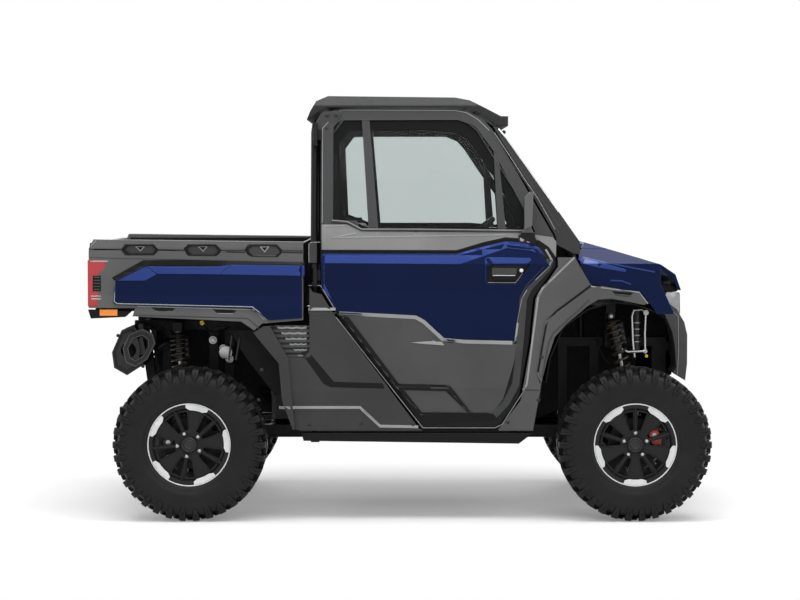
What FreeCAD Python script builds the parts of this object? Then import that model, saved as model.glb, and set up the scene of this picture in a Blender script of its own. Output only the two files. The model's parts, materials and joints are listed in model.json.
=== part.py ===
import FreeCAD, Part
import Sketcher
import math
import os
from FreeCAD import Placement, Rotation, Vector

# A side-by-side utility vehicle with a closed cab and a tipping cargo bed, in millimetres.
# X runs forward, Y to the vehicle's left and Z up from the ground under the tyres.
# The origin lies on the ground, midway along the overall length, on the centre plane.

SIZES = {
    # Overall
    "overall_length": 2884, "rear_overhang": 468.5, "track": 1380, "overrun": 20,
    "body_width": 1510, "roof_width": 1290, "roof_height": 1968, "roof_depth": 65, "belt_height": 1322,
    "floor_height": 430, "deck_height": 985, "shut_gap": 10, "seat_gap": 0.3,
    # Tyres, with lugs that wrap over each shoulder
    "tyre_diameter": 711, "tyre_width": 254, "tyre_sides": 24,
    # Rims
    "rim_diameter": 388, "rim_width": 205, "rim_wall": 10, "rim_lip": 8, "spoke_count": 5,
    "spoke_thickness": 24, "face_inset": 12, "hub_radius": 62, "hub_cap_radius": 32, "hub_cap_height": 12,
    "disc_radius": 118, "disc_thickness": 6, "caliper_depth": 18,
    "lug_circle_radius": 50, "lug_nut_radius": 9, "lug_nut_height": 10, "spindle_radius": 22,
    # Steering and suspension
    "kingpin_inset": 90, "tie_arm": 85, "tie_arm_rise": 80, "knuckle_height": 220, "knuckle_size": 44,
    "arm_radius": 14, "arm_spread": 150, "upper_arm_rise": 84, "arm_eye_radius": 24,
    "shock_radius": 20, "spring_radius": 40, "shock_lean": 85, "half_shaft_radius": 14,
    "diff_radius": 64, "diff_length": 150, "diff_rise": 102, "shaft_radius": 18, "rack_radius": 14,
    # Frame and cage
    "frame_width": 470, "rail_size": 44, "belly_height": 376, "rail_drop": 67,
    "front_rail_height": 800, "cage_radius": 19, "cage_bend": 90, "pillar_inset": 56,
    # Doors
    "hinge_gap": 30, "door_bottom": 432, "door_thickness": 50, "belt_step": 61,
    "frame_thickness": 34, "skin_thickness": 16, "glass_thickness": 6,
    "hinge_radius": 11, "hinge_length": 60, "handle_depth": 18,
    # Cargo bed
    "bed_gap": 51, "bed_width": 1500, "bed_side": 46, "bed_wall": 14, "bed_depth": 318,
    "floor_drop": 38, "tailgate_thickness": 34, "bed_pivot_setback": 197, "pivot_drop": 29,
    "pin_radius": 12,
    # Steering wheel
    "wheel_radius": 180, "wheel_rim_radius": 14, "column_radius": 22,
}

doc = FreeCAD.newDocument("UtilityVehicle")
sheet = doc.addObject("Spreadsheet::Sheet", "Sizes")


class Size:
    """A length with its value and the sheet formula that gives it."""

    def __init__(self, value, text):
        self.value = float(value)
        self.text = text

    def __add__(self, other):
        return combined(self, other, "+", self.value + float(other))

    def __radd__(self, other):
        return combined(other, self, "+", float(other) + self.value)

    def __sub__(self, other):
        return combined(self, other, "-", self.value - float(other))

    def __rsub__(self, other):
        return combined(other, self, "-", float(other) - self.value)

    def __mul__(self, other):
        return combined(self, other, "*", self.value * float(other))

    def __rmul__(self, other):
        return combined(other, self, "*", float(other) * self.value)

    def __truediv__(self, other):
        return combined(self, other, "/", self.value / float(other))

    def __neg__(self):
        return Size(-self.value, f"(0 - {self.text})")

    def __float__(self):
        return self.value


def formula(value):
    """A value as the sheet writes it."""
    return value.text if isinstance(value, Size) else repr(float(value))


def combined(left, right, sign, value):
    """Two sizes or numbers joined, with the sheet formula that says so."""
    return Size(value, f"({formula(left)} {sign} {formula(right)})")


class Sheet:
    """The driving sizes, each read back from its cell by name."""

    def __init__(self, sizes):
        for row, (name, value) in enumerate(sizes.items(), 1):
            sheet.set(f"A{row}", name)
            sheet.set(f"B{row}", str(value))
            sheet.setAlias(f"B{row}", name)
        sheet.recompute()
        for name in sizes:
            setattr(self, name, Size(getattr(sheet, name), f"Sizes.{name}"))


s = Sheet(SIZES)


class Box:
    """A rectangle of one view, of which an outline's points are shares."""

    def __init__(self, left, right, low, high):
        self.left, self.right, self.low, self.high = left, right, low, high

    def spot(self, across, up):
        return (self.left + (self.right - self.left) * across, self.low + (self.high - self.low) * up)

    def outline(self, shares):
        return [self.spot(across, up) for across, up in shares]


def bind(thing, name, value):
    """Sets a property and ties it to the sheet."""
    thing.setExpression(name, formula(value))


def draw(body, plane, points, start):
    """A closed outline on one of the body's origin planes, every corner tied to the sheet."""
    sketch = body.newObject("Sketcher::SketchObject", "Outline")
    origin_plane = next(f for f in body.Origin.OriginFeatures if f.Role == f"{plane}_Plane")
    sketch.AttachmentSupport = (origin_plane, "")
    sketch.MapMode = "FlatFace"
    bind(sketch, "AttachmentOffset.Base.z", start)
    places = [Vector(float(x), float(y), 0) for x, y in points]
    count = len(places)
    sketch.addGeometry([Part.LineSegment(places[i], places[(i + 1) % count]) for i in range(count)])
    rules = [Sketcher.Constraint("Coincident", i, 2, (i + 1) % count, 1) for i in range(count)]
    for i, place in enumerate(places):
        rules.append(Sketcher.Constraint("DistanceX", -1, 1, i, 1, place.x))
        rules.append(Sketcher.Constraint("DistanceY", -1, 1, i, 1, place.y))
    sketch.addConstraint(rules)
    for i, (x, y) in enumerate(points):
        bind(sketch, f"Constraints[{count + 2 * i}]", x)
        bind(sketch, f"Constraints[{count + 2 * i + 1}]", y)
    return sketch


def prism(plane, points, start, length):
    """A body padded from one outline. XZ pads run to the right side, XY up and YZ forward."""
    body = doc.addObject("PartDesign::Body", "Body")
    sketch = draw(body, plane, points, start)
    pad = body.newObject("PartDesign::Pad", "Pad")
    pad.Profile = sketch
    bind(pad, "Length", length)
    sketch.Visibility = False
    sketch.recompute()
    pad.recompute()
    body.recompute()
    return body


def dressed(body, kind, size, wanted):
    """Chamfers or rounds the body's edges whose two ends both pass the test."""
    tip = body.Tip
    names = []
    for number, edge in enumerate(tip.Shape.Edges, 1):
        ends = [vertex.Point for vertex in edge.Vertexes]
        if len(ends) == 2 and all(wanted(end) for end in ends):
            names.append(f"Edge{number}")
    feature = body.newObject(f"PartDesign::{kind}", kind)
    feature.Base = (tip, names)
    bind(feature, "Size" if kind == "Chamfer" else "Radius", size)
    feature.recompute()
    body.recompute()
    return body


def across(points, half, reach=None):
    """A body that spans the vehicle, from its left half width to its right."""
    return prism("XZ", points, -half, half * 2 if reach is None else reach)


def box(low, high):
    """A block between two corners."""
    block = doc.addObject("Part::Box", "Block")
    for name, a, b in zip(("Length", "Width", "Height"), low, high):
        bind(block, name, b - a)
    for axis, a in zip("xyz", low):
        bind(block, f"Placement.Base.{axis}", a)
    block.recompute()
    return block


def box_body(low, high):
    """A block between two corners, as a body whose edges can be dressed."""
    corners = [(low[0], low[1]), (high[0], low[1]), (high[0], high[1]), (low[0], high[1])]
    return prism("XY", corners, low[2], high[2] - low[2])


AXES = {"x": Rotation(Vector(0, 1, 0), 90), "y": Rotation(Vector(1, 0, 0), -90), "z": Rotation()}


def round_bar(axis, start, radius, length, top=None):
    """A cylinder, or a cone where it has a top radius, from its start along one axis."""
    bar = doc.addObject("Part::Cylinder" if top is None else "Part::Cone", "Bar")
    bar.Placement = Placement(Vector(), AXES[axis])
    bind(bar, "Radius" if top is None else "Radius1", radius)
    if top is not None:
        bind(bar, "Radius2", top)
    bind(bar, "Height", length)
    for name, value in zip("xyz", start):
        bind(bar, f"Placement.Base.{name}", value)
    bar.recompute()
    return bar


def fused(*pieces):
    """One solid from several."""
    whole = doc.addObject("Part::MultiFuse", "Whole")
    whole.Shapes = list(pieces)
    whole.Refine = True
    whole.recompute()
    return whole


def common(*pieces):
    """What several pieces share."""
    shared = doc.addObject("Part::MultiCommon", "Shared")
    shared.Shapes = list(pieces)
    shared.recompute()
    return shared


def cut(base, *tools):
    """The base less its tools, one after another."""
    for tool in tools:
        rest = doc.addObject("Part::Cut", "Rest")
        rest.Base = base
        rest.Tool = tool
        rest.recompute()
        base = rest
    return base


def mirrored(piece, normal=Vector(0, 1, 0)):
    """A twin on the other side of a plane."""
    twin = doc.addObject("Part::Mirroring", "Twin")
    twin.Source = piece
    twin.Normal = normal
    twin.recompute()
    return twin


def gathered(*pieces):
    """Separate solids that share one node."""
    group = doc.addObject("Part::Compound", "Group")
    group.Links = list(pieces)
    group.recompute()
    return group


def both(piece):
    """A right-hand piece and its left-hand twin."""
    return gathered(piece, mirrored(piece))


def grown(points, gap, reach):
    """What a closed outline takes from its neighbours, with a gap all round it."""
    sketch = doc.addObject("Sketcher::SketchObject", "Doorway")
    sketch.Placement = Placement(Vector(), Rotation(Vector(1, 0, 0), 90))
    places = [Vector(float(x), float(y), 0) for x, y in points]
    count = len(places)
    sketch.addGeometry([Part.LineSegment(places[i], places[(i + 1) % count]) for i in range(count)])
    rules = [Sketcher.Constraint("Coincident", i, 2, (i + 1) % count, 1) for i in range(count)]
    for i, place in enumerate(places):
        rules.append(Sketcher.Constraint("DistanceX", -1, 1, i, 1, place.x))
        rules.append(Sketcher.Constraint("DistanceY", -1, 1, i, 1, place.y))
    sketch.addConstraint(rules)
    for i, (x, y) in enumerate(points):
        bind(sketch, f"Constraints[{count + 2 * i}]", x)
        bind(sketch, f"Constraints[{count + 2 * i + 1}]", y)
    sketch.recompute()
    wider = doc.addObject("Part::Offset2D", "Wider")
    wider.Source = sketch
    wider.Join = 2
    bind(wider, "Value", gap)
    wider.recompute()
    block = doc.addObject("Part::Extrusion", "Swept")
    block.Base = wider
    block.DirMode = "Custom"
    block.Dir = Vector(0, -1, 0)
    block.Solid = True
    bind(block, "LengthFwd", reach)
    block.recompute()
    return block


def vector(point):
    """A point of sizes as plain numbers."""
    return Vector(*(float(value) for value in point))


def swept(points, radius, bend=0, square=False):
    """A bar along straight runs, joined by arcs of the bend radius or by mitres."""
    places = [vector(point) for point in points]
    edges = []
    start = places[0]
    for before, corner, after in zip(places, places[1:], places[2:]):
        back = (before - corner).normalize()
        ahead = (after - corner).normalize()
        turn = math.pi - back.getAngle(ahead)
        if float(bend) and turn > math.radians(1):
            setback = float(bend) * math.tan(turn / 2)
            first = corner + back * setback
            last = corner + ahead * setback
            inward = (back + ahead).normalize()
            middle = corner + inward * (float(bend) / math.cos(turn / 2) - float(bend))
            edges.append(Part.makeLine(start, first))
            edges.append(Part.Arc(first, middle, last).toShape())
            start = last
        else:
            edges.append(Part.makeLine(start, corner))
            start = corner
    edges.append(Part.makeLine(start, places[-1]))
    path = Part.Wire(edges)
    ahead = (places[1] - places[0]).normalize()
    if square:
        side = Vector(0, 1, 0) if abs(ahead.y) < 0.9 else Vector(1, 0, 0)
        side = (side - ahead * side.dot(ahead)).normalize() * float(radius)
        rise = ahead.cross(side)
        rim = [places[0] + side + rise, places[0] + side - rise, places[0] - side - rise,
               places[0] - side + rise]
        profile = Part.makePolygon(rim + rim[:1])
    else:
        profile = Part.Wire(Part.makeCircle(float(radius), places[0], ahead))
    bar = doc.addObject("Part::Feature", "Swept")
    bar.Shape = path.makePipeShell([profile], True, False, 0 if float(bend) else 1)
    return bar


NODES = {}


def node(name, piece):
    """Names a piece for export."""
    piece.Label = name
    NODES[name] = piece


def placed(shape, name, placement):
    """A copy of a finished shape at a place of its own."""
    copy = doc.addObject("Part::Feature", name)
    copy.Shape = shape
    copy.Placement = placement
    return copy


# Lines and planes that many pieces share
half_length = s.overall_length / 2
tyre_radius = s.tyre_diameter / 2
axle_height = tyre_radius
front_axle = half_length - tyre_radius
rear_axle = -half_length + s.rear_overhang
wheel_centre = s.track / 2
body_half = s.body_width / 2
roof_half = s.roof_width / 2
frame_half = s.frame_width / 2
rail_half = s.rail_size / 2
tyre_space = front_axle - rear_axle - tyre_radius * 2
DOOR_START_SHARE = 0.18681
DOOR_LENGTH_SHARE = 0.80504
door_rear = rear_axle + tyre_radius + tyre_space * DOOR_START_SHARE
door_length = tyre_space * DOOR_LENGTH_SHARE
door_front = door_rear + door_length
door_top = s.roof_height - s.roof_depth
pillar = door_rear - s.hinge_gap
waist = s.belt_height - s.belt_step * 5.525
bed_bottom = s.deck_height - s.floor_drop
rail_top = s.deck_height + s.bed_depth
door_box = Box(door_rear, door_front, s.door_bottom, s.belt_height + s.belt_step)
window_box = Box(door_rear, door_front, s.belt_height, door_top)
bed_front = pillar - s.bed_gap
bed_box = Box(-half_length, bed_front, bed_bottom, rail_top)
bed_half = s.bed_width / 2
quarter_box = Box(door_rear, door_front, s.door_bottom, bed_bottom - s.rail_size)
flare_box = Box(door_front, front_axle + tyre_radius * 0.148, s.door_bottom, s.belt_height + s.belt_step)
ROOF_END_SHARE = 0.7994
roof_box = Box(pillar - s.bed_gap * 0.73, door_box.spot(ROOF_END_SHARE, 0)[0],
               door_top - s.belt_step * 1.31,
               s.roof_height)
fascia_box = Box(half_length - tyre_radius * 0.73, half_length - tyre_radius * 0.23,
                 s.floor_height * 1.463,
                 s.belt_height * 0.8568)
grille_back = fascia_box.spot(0.66, 0)[0]
body_face_gap = s.overrun * 2


def out(points):
    """A section drawn outward and up, turned to the right side."""
    return [(-outward, up) for outward, up in points]


def faced(points, section, left, right):
    """A right-hand panel: a side outline with the front section that its faces follow."""
    side = prism("XZ", points, 0, body_half + body_face_gap)
    front = prism("YZ", out(section), left - s.overrun, right - left + s.overrun * 2)
    return common(side, front)


def relief(points, face, deep, left, right):
    """A tool that lowers part of a panel's outer face by a depth."""
    floor = [(outward - deep, up) for outward, up in face]
    far = body_half + body_face_gap
    return faced(points, floor + [(far, face[-1][1]), (far, face[0][1])], left, right)


# Doors: a shell with a leaning window frame, a creased skin, a lower panel, glass and fittings
DOOR_LOW_SHARES = [(0, 0.676), (0.062, 0.559), (0.426, 0), (0.754, 0), (0.843, 0.136), (0.885, 0.408),
                   (0.905, 0.632), (1, 0.787), (0.992, 0.926)]
DOOR_HIGH_SHARES = [(0.733, 0.84), (0.688, 0.928), (0.636, 0.981), (0.573, 1), (0.051, 1), (0, 0.88)]
WINDOW_SHARES = [(0.052, 0.115), (0.153, 0.115), (0.168, 0.031), (0.915, 0.022), (0.733, 0.683),
                 (0.664, 0.855),
                 (0.628, 0.9), (0.587, 0.919), (0.08, 0.919), (0.052, 0.864)]
DIVIDER_SHARES = [(0.174, 0.919), (0.206, 0.919), (0.245, 0.031), (0.204, 0.031)]
QUARTER_SHARES = [(0.737, 0.66), (0.759, 0.615), (0.788, 0.027), (0.754, 0.027)]
SKIN_SHARES = [(0.004, 0.676), (0.081, 0.556), (0.411, 0.541), (0.434, 0.528), (0.514, 0.442),
               (0.544, 0.422),
               (0.821, 0.417), (0.837, 0.442), (0.852, 0.615), (0.878, 0.684), (0.973, 0.788),
               (0.92, 0.87),
               (0.776, 0.894), (0.586, 0.84), (0.004, 0.84)]
TRIM_SHARES = [(0.085, 0.546), (0.313, 0.207), (0.426, 0.06), (0.723, 0.06), (0.776, 0.138),
               (0.821, 0.312),
               (0.837, 0.408), (0.541, 0.413), (0.51, 0.433), (0.43, 0.519), (0.409, 0.532)]
TRIM_STEP_SHARES = [(0.3, 0.2), (0.541, 0.195), (0.64, 0.058), (0.66, 0.058), (0.549, 0.209),
                    (0.289, 0.214)]
HANDLE_SHARES = [(0.705, 0.798), (0.896, 0.798), (0.834, 0.7), (0.709, 0.7)]
GRIP_SHARES = [(0.73, 0.79), (0.86, 0.79), (0.84, 0.757), (0.735, 0.757)]
MIRROR_SHARES = [(0.864, 0.05), (0.894, 0.075), (0.9, 0.34), (0.885, 0.344), (0.864, 0.3)]
MIRROR_FOOT_SHARES = [(0.842, -0.012), (0.91, -0.075), (0.915, -0.03), (0.89, 0.08), (0.872, 0.08)]

shell_half = body_half - s.skin_thickness
door_outline = door_box.outline(DOOR_LOW_SHARES) + window_box.outline(DOOR_HIGH_SHARES)


def leaned(up, inset=0):
    """How far out the leaning face of the upper body stands at a height."""
    lean = (shell_half - roof_half) / (door_top - s.belt_height)
    return shell_half - inset - (up - s.belt_height) * lean


def door_shell():
    """The door's structure, tucked in at the foot, with its window frame leaning in."""
    low, high, belt = s.door_bottom, door_top, s.belt_height
    tuck = low + s.door_thickness * 3.4
    section = [(shell_half - s.skin_thickness, low - s.overrun), (shell_half, tuck), (shell_half, belt),
               (leaned(high + s.overrun), high + s.overrun),
               (leaned(high + s.overrun, s.frame_thickness), high + s.overrun),
               (shell_half - s.frame_thickness, belt), (body_half - s.door_thickness, low - s.overrun)]
    shell = faced(door_outline, section, door_rear, door_front)
    return cut(shell, prism("XZ", window_box.outline(WINDOW_SHARES), 0, body_half))


def door_glass():
    """Three panes in one plane, halfway through the window frame."""
    low, high = s.belt_height, door_top
    inset = s.frame_thickness / 2 - s.glass_thickness / 2
    section = [(leaned(low, inset), low), (leaned(high, inset), high),
               (leaned(high, inset + s.glass_thickness), high),
               (leaned(low, inset + s.glass_thickness), low)]
    pane = faced(window_box.outline(WINDOW_SHARES), section, door_rear, door_front)
    bars = [prism("XZ", window_box.outline(shares), 0, body_half) for shares in (DIVIDER_SHARES,
                                                                                 QUARTER_SHARES)]
    return cut(pane, *bars)


def door_dividers():
    """The upright bars between the panes, as deep as the window frame."""
    low, high = s.belt_height, door_top
    section = [(leaned(low), low), (leaned(high), high), (leaned(high, s.frame_thickness), high),
               (leaned(low, s.frame_thickness), low)]
    return [faced(window_box.outline(shares), section, door_rear, door_front)
            for shares in (DIVIDER_SHARES, QUARTER_SHARES)]


def door_skin():
    """The painted panel, creased at the waist and cut for the handle."""
    rise = s.skin_thickness
    section = [(shell_half, s.belt_height), (body_half - rise * 0.6, s.belt_height - rise),
               (body_half + rise * 0.6, s.belt_height - rise * 8.25),
               (body_half - rise * 0.3, waist + rise * 5),
               (body_half - rise * 0.6, s.door_bottom + rise), (shell_half, s.door_bottom)]
    skin = faced(door_box.outline(SKIN_SHARES), section, door_rear, door_front)
    return cut(skin, prism("XZ", door_box.outline(HANDLE_SHARES), shell_half, s.overrun * 3))


def door_trim():
    """The lower panel, with its stepped crease."""
    rise = s.skin_thickness
    crease = s.door_bottom + rise * 11.5
    face = [(body_half - rise * 1.4, s.door_bottom - s.overrun), (body_half, crease),
            (body_half - rise * 0.5, waist + rise * 2)]
    section = [(shell_half, waist + rise * 2), *face[::-1], (shell_half - rise,
                                                             s.door_bottom - s.overrun),
               (shell_half, s.door_bottom + s.door_thickness * 3.4)]
    trim = faced(door_box.outline(TRIM_SHARES), section, door_rear, door_front)
    return cut(trim, relief(door_box.outline(TRIM_STEP_SHARES), face, rise * 0.3, door_rear, door_front))


hinge_x = pillar + s.hinge_radius * 0.36
hinge_low = (hinge_x, body_half - s.hinge_radius * 0.27, waist + s.belt_step * 2.5)
hinge_high = (hinge_x, roof_half + s.hinge_radius * 3.4, door_top - s.belt_step * 1.9)


def hinge_spot(height):
    """A point of the hinge line at a height, turned to the right side."""
    rate = (hinge_high[1] - hinge_low[1]) / (hinge_high[2] - hinge_low[2])
    return (hinge_x, -(hinge_low[1] + (height - hinge_low[2]) * rate), height)


def hinge_barrel(low, high):
    """A stretch of the hinge line's barrel."""
    return swept([hinge_spot(low), hinge_spot(high)], s.hinge_radius)


def hinge_leaf(middle, face):
    """The door's half of a hinge: a barrel and a leaf that meets the door's rear edge."""
    half = s.hinge_length / 2
    inner, outer = face - s.hinge_radius, face + s.hinge_radius
    leaf = box((hinge_x, -outer, middle - half * 0.8), (door_rear, -inner, middle + half * 0.8))
    return fused(hinge_barrel(middle - half, middle + half), leaf)


def hinge_ears(middle, inner):
    """The pillar's half of a hinge: a barrel above and one below, each on a lug from the tube."""
    half = s.hinge_length / 2
    ears = []
    for side in (-1, 1):
        near = middle + side * (half + s.seat_gap)
        far = middle + side * (half + s.hinge_radius * 2)
        low, high = (far, near) if side < 0 else (near, far)
        slack = s.hinge_radius * 0.15
        lug_low = (pillar - s.hinge_radius, hinge_spot(middle)[1] - s.hinge_radius * 0.4, low + slack)
        ears.append(hinge_barrel(low, high))
        ears.append(box(lug_low, (hinge_x, -inner, high - slack)))
    return ears


def door_fittings():
    """Handle, mirror on its foot, and the door's hinge leaves."""
    grip = prism("XZ", door_box.outline(GRIP_SHARES), shell_half, s.handle_depth)
    leaves = [hinge_leaf(hinge_low[2], shell_half), hinge_leaf(hinge_high[2], leaned(hinge_high[2]))]
    foot = prism("XZ", window_box.outline(MIRROR_FOOT_SHARES), shell_half, s.overrun * 1.3)
    head = prism("XZ", window_box.outline(MIRROR_SHARES), shell_half + s.overrun * 0.9, s.overrun * 3.4)
    return gathered(grip, fused(foot, head), *leaves)


# Frame: two side trusses of square tube, tied across, with outriggers under the doors
belly = s.belly_height
bed_pivot_height = bed_bottom - s.pivot_drop
rear_rail = bed_bottom - s.rail_drop
front_rail = s.front_rail_height
rack_spot = (front_axle - s.tie_arm, axle_height + s.tie_arm_rise + s.shut_gap / 2 + s.rack_radius)
bed_pivot_x = -half_length + s.bed_pivot_setback
frame_nose = front_axle + s.arm_spread + s.rail_size * 0.6
shock_y = frame_half + s.rail_size * 4.1
shock_top_rear = rear_rail - rail_half - s.seat_gap
shock_top_front = front_rail + s.rail_size * 3.355
frame_tail = bed_pivot_x + s.rail_size * 0.2
strut_foot = (rear_axle + s.rail_size * 1.7, 0, s.floor_height * 1.51)
strut_head = (pillar - s.bed_gap * 4, 0, bed_bottom - s.shut_gap * 1.7)
strut_eye_half = s.pin_radius * 1.4
door_foot = door_rear + door_length * 0.84
dash_post_x = front_axle - tyre_radius * 0.85


def rack_bracket(side):
    """A block on the post behind the front axle, bored for the steering rack that slides in it."""
    x, up = rack_spot
    post = front_axle - s.arm_spread + rail_half
    block = box((post, side - rail_half, up - rail_half), (x + rail_half, side + rail_half,
                                                           up + rail_half))
    return cut(block, round_bar("y", (x, side - s.rail_size, up), s.rack_radius + s.seat_gap,
                                s.rail_size * 2))


def frame():
    """The trusses with their towers, brackets and outriggers, and the ties across."""
    side = -frame_half
    strut_tie = strut_foot[2] - s.rail_size * 1.1
    lower = [(frame_tail, side, rear_rail), (frame_tail + s.rail_size * 1.6, side, belly),
             (frame_nose - s.rail_size, side, belly), (frame_nose, side, belly + s.rail_size),
             (frame_nose, side, front_rail), (dash_post_x, side, front_rail)]
    upper = [(frame_tail - s.rail_size, side, rear_rail), (pillar, side, rear_rail),
             (pillar, side, belly)]
    dash_post = [(dash_post_x, side, front_rail + rail_half), (dash_post_x, side, belly)]
    runs = [lower, upper, dash_post, [(strut_foot[0], side, rear_rail), (strut_foot[0], side, belly)]]
    for axle, top in ((rear_axle, rear_rail), (front_axle, front_rail)):
        for reach in (-s.arm_spread, s.arm_spread):
            runs.append([(axle + reach, side, top), (axle + reach, side, belly + rail_half / 2)])
    shock_x = rear_axle - s.shock_lean
    runs.append([(shock_x, side, rear_rail), (shock_x, -(shock_y + rail_half), rear_rail)])
    shock_x = front_axle - s.shock_lean
    tower_y = -(shock_y - s.spring_radius - s.rail_size)
    tower_top = shock_top_front + rail_half + s.seat_gap
    runs.append([(shock_x, side, front_rail), (shock_x, tower_y, front_rail),
                 (shock_x, tower_y, tower_top),
                 (shock_x, -(shock_y + rail_half), tower_top)])
    truss = [swept(run, rail_half, square=True) for run in runs]
    bracket = box((bed_pivot_x - s.pin_radius, side - rail_half, rear_rail),
                  (bed_pivot_x + s.pin_radius, side + rail_half, bed_pivot_height + s.pin_radius * 0.7))
    rest = box((pillar - s.rail_size * 2.2, side - rail_half, rear_rail),
               (pillar - s.rail_size, side + rail_half, bed_bottom - s.seat_gap))
    nose_bracket = box((frame_nose, side - rail_half, front_rail - s.rail_size),
                       (grille_back - s.seat_gap, side + rail_half, front_rail))
    truss += [bracket, rest, nose_bracket, rack_bracket(side)]
    reach = body_half - s.door_thickness * 1.6
    riggers = [swept([(x, side, belly), (x, -reach, belly)], rail_half * 0.9, square=True)
               for x in (pillar, door_foot)]
    right = fused(*truss, *riggers)
    ties = [swept([(x, side, up), (x, frame_half, up)], rail_half * 0.8, square=True)
            for x, up in ((frame_tail, rear_rail), (pillar, rear_rail), (pillar, belly),
                          (frame_nose, front_rail),
                          (frame_nose, s.floor_height * 1.3), (dash_post_x, front_rail),
                          (dash_post_x, belly), (rear_axle + tyre_radius, belly),
                          (strut_foot[0], strut_tie))]
    return fused(right, mirrored(right), *ties, *strut_ears(strut_foot, strut_tie))


roof_under = door_top + s.shut_gap * 0.9
cage_top = roof_under - s.cage_radius - s.seat_gap
cage_top_half = roof_half - s.frame_thickness - s.cage_radius * 1.6
SCREEN_TOP_SHARE = 0.7614
screen_top = (door_box.spot(SCREEN_TOP_SHARE, 0)[0], door_top - s.belt_step * 1.31)
screen_foot = (front_axle - tyre_radius * 0.72, s.belt_height - s.belt_step * 0.5)
header_low = screen_top[1] - s.belt_step * 0.5
cowl_top = screen_foot[1] - s.overrun


def on_screen(height, back):
    """A point of the windscreen's line at a height, moved back behind it."""
    rate = (screen_foot[0] - screen_top[0]) / (screen_foot[1] - screen_top[1])
    return screen_top[0] + (height - screen_top[1]) * rate - back


def roll_cage():
    """Two side hoops from the outriggers over the doors to the dash, and the tubes across."""
    radius = s.cage_radius
    hip = waist + s.belt_step * 3
    screen_low = s.belt_height - s.belt_step * 0.8
    brow = screen_top[1] + s.shut_gap
    side = [(pillar, -(body_half - s.pillar_inset * 2), belly + rail_half * 0.9 + s.cage_radius * 0.1),
            (pillar, -(body_half - s.pillar_inset), hip),
            (pillar, -cage_top_half, cage_top),
            (on_screen(brow, s.rail_size * 0.9), -cage_top_half, brow),
            (on_screen(screen_low, s.rail_size * 1.6), -(body_half - s.pillar_inset * 1.5), screen_low),
            (front_axle - tyre_radius * 0.6, -(body_half - s.pillar_inset * 2.2),
             waist + s.belt_step * 1.2),
            (front_axle - tyre_radius * 0.6, -frame_half, waist + s.belt_step * 1.2),
            (front_axle - tyre_radius * 0.6, -frame_half, front_rail + rail_half + s.seat_gap)]
    hoop = swept(side, radius, s.cage_bend)
    slope = (brow - cage_top) / (side[3][0] - pillar)
    ears = hinge_ears(hinge_low[2], body_half - s.pillar_inset)
    ears += hinge_ears(hinge_high[2], cage_top_half + s.cage_radius)
    right = fused(hoop, *ears)
    ties = []
    for x in (pillar + s.cage_bend, side[3][0] - s.cage_bend):
        up = cage_top + (x - pillar) * slope
        ties.append(swept([(x, -cage_top_half, up), (x, cage_top_half, up)], radius * 0.9))
    shoulder = s.belt_height + s.belt_step * 0.6
    ties.append(swept([(pillar, -(body_half - s.pillar_inset * 1.5), shoulder),
                       (pillar, body_half - s.pillar_inset * 1.5, shoulder)], radius * 0.8))
    return fused(right, mirrored(right), *ties)


ROOF_SHARES = [(0, 0.234), (0.016, 0.49), (0.047, 0.834), (0.105, 1), (0.737, 0.952), (0.809, 0.862),
               (0.889, 0.6),
               (0.965, 0.345), (1, 0.345), (1, 0.034), (0.952, 0.03), (0.887, 0.3), (0.8, 0.625),
               (0.1, 0.625),
               (0.055, 0.462)]


def roof():
    """A moulded panel with chamfered flanks and a peak that hangs over the windscreen."""
    half = roof_half + s.shut_gap
    low, high = roof_box.low, roof_box.high
    body = across(roof_box.outline(ROOF_SHARES), half)
    flank = [(-half, low - s.overrun), (half, low - s.overrun), (half, door_top + s.shut_gap * 2),
             (half - s.belt_step, high + s.overrun), (-half + s.belt_step, high + s.overrun),
             (-half, door_top + s.shut_gap * 2)]
    return common(body, prism("YZ", flank, roof_box.left - s.overrun,
                              roof_box.right - roof_box.left + s.overrun * 2))


# Cab: tub, rear wall, glass, screen surround, dashboard and seats
cab_half = body_half - s.door_thickness - s.shut_gap
wall_x = pillar + rail_half + s.seat_gap
TUB_DECK_SHARES = [(0.478, 0.016), (0.478, 0.371), (0.007, 0.371), (0.007, 0.362), (0.47, 0.362),
                   (0.47, 0.007)]
TUB_FRONT_SHARES = [(-0.2876, 0.007), (-0.1555, 0.13), (-0.1477, 0.31), (-0.0389, 0.49), (0.0907, 0.6),
                    (0.0907, 0.76), (0.07, 0.76), (0.07, 0.603), (-0.0596, 0.495), (-0.1684, 0.312),
                    (-0.1762, 0.133), (-0.3006, 0.016)]
DASH_SHARES = [(-0.5182, 0.83), (-0.4146, 0.868), (0.1036, 0.876), (0.1814, 0.85), (0.1296, 0.78),
               (0.0518, 0.76), (0.0518, 0.62), (-0.3628, 0.6), (-0.4923, 0.68), (-0.5441, 0.78)]
CUSHION_SHARES = [(0.03, 0.3713), (0.47, 0.3713), (0.5, 0.44), (0.47, 0.49), (0.2, 0.47), (0.03, 0.47)]
BACK_SHARES = [(0.05, 0.4703), (0.19, 0.4703), (0.2, 0.6), (0.17, 0.97), (0.19, 0.985), (0.18, 0.995),
               (0.12, 0.995),
               (0.1, 0.96), (0.04, 0.6)]


def cab_tub():
    """One pressed sheet: seat deck, riser, floor, toe board and firewall."""
    return across(door_box.outline(TUB_DECK_SHARES) + flare_box.outline(TUB_FRONT_SHARES), cab_half)


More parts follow.
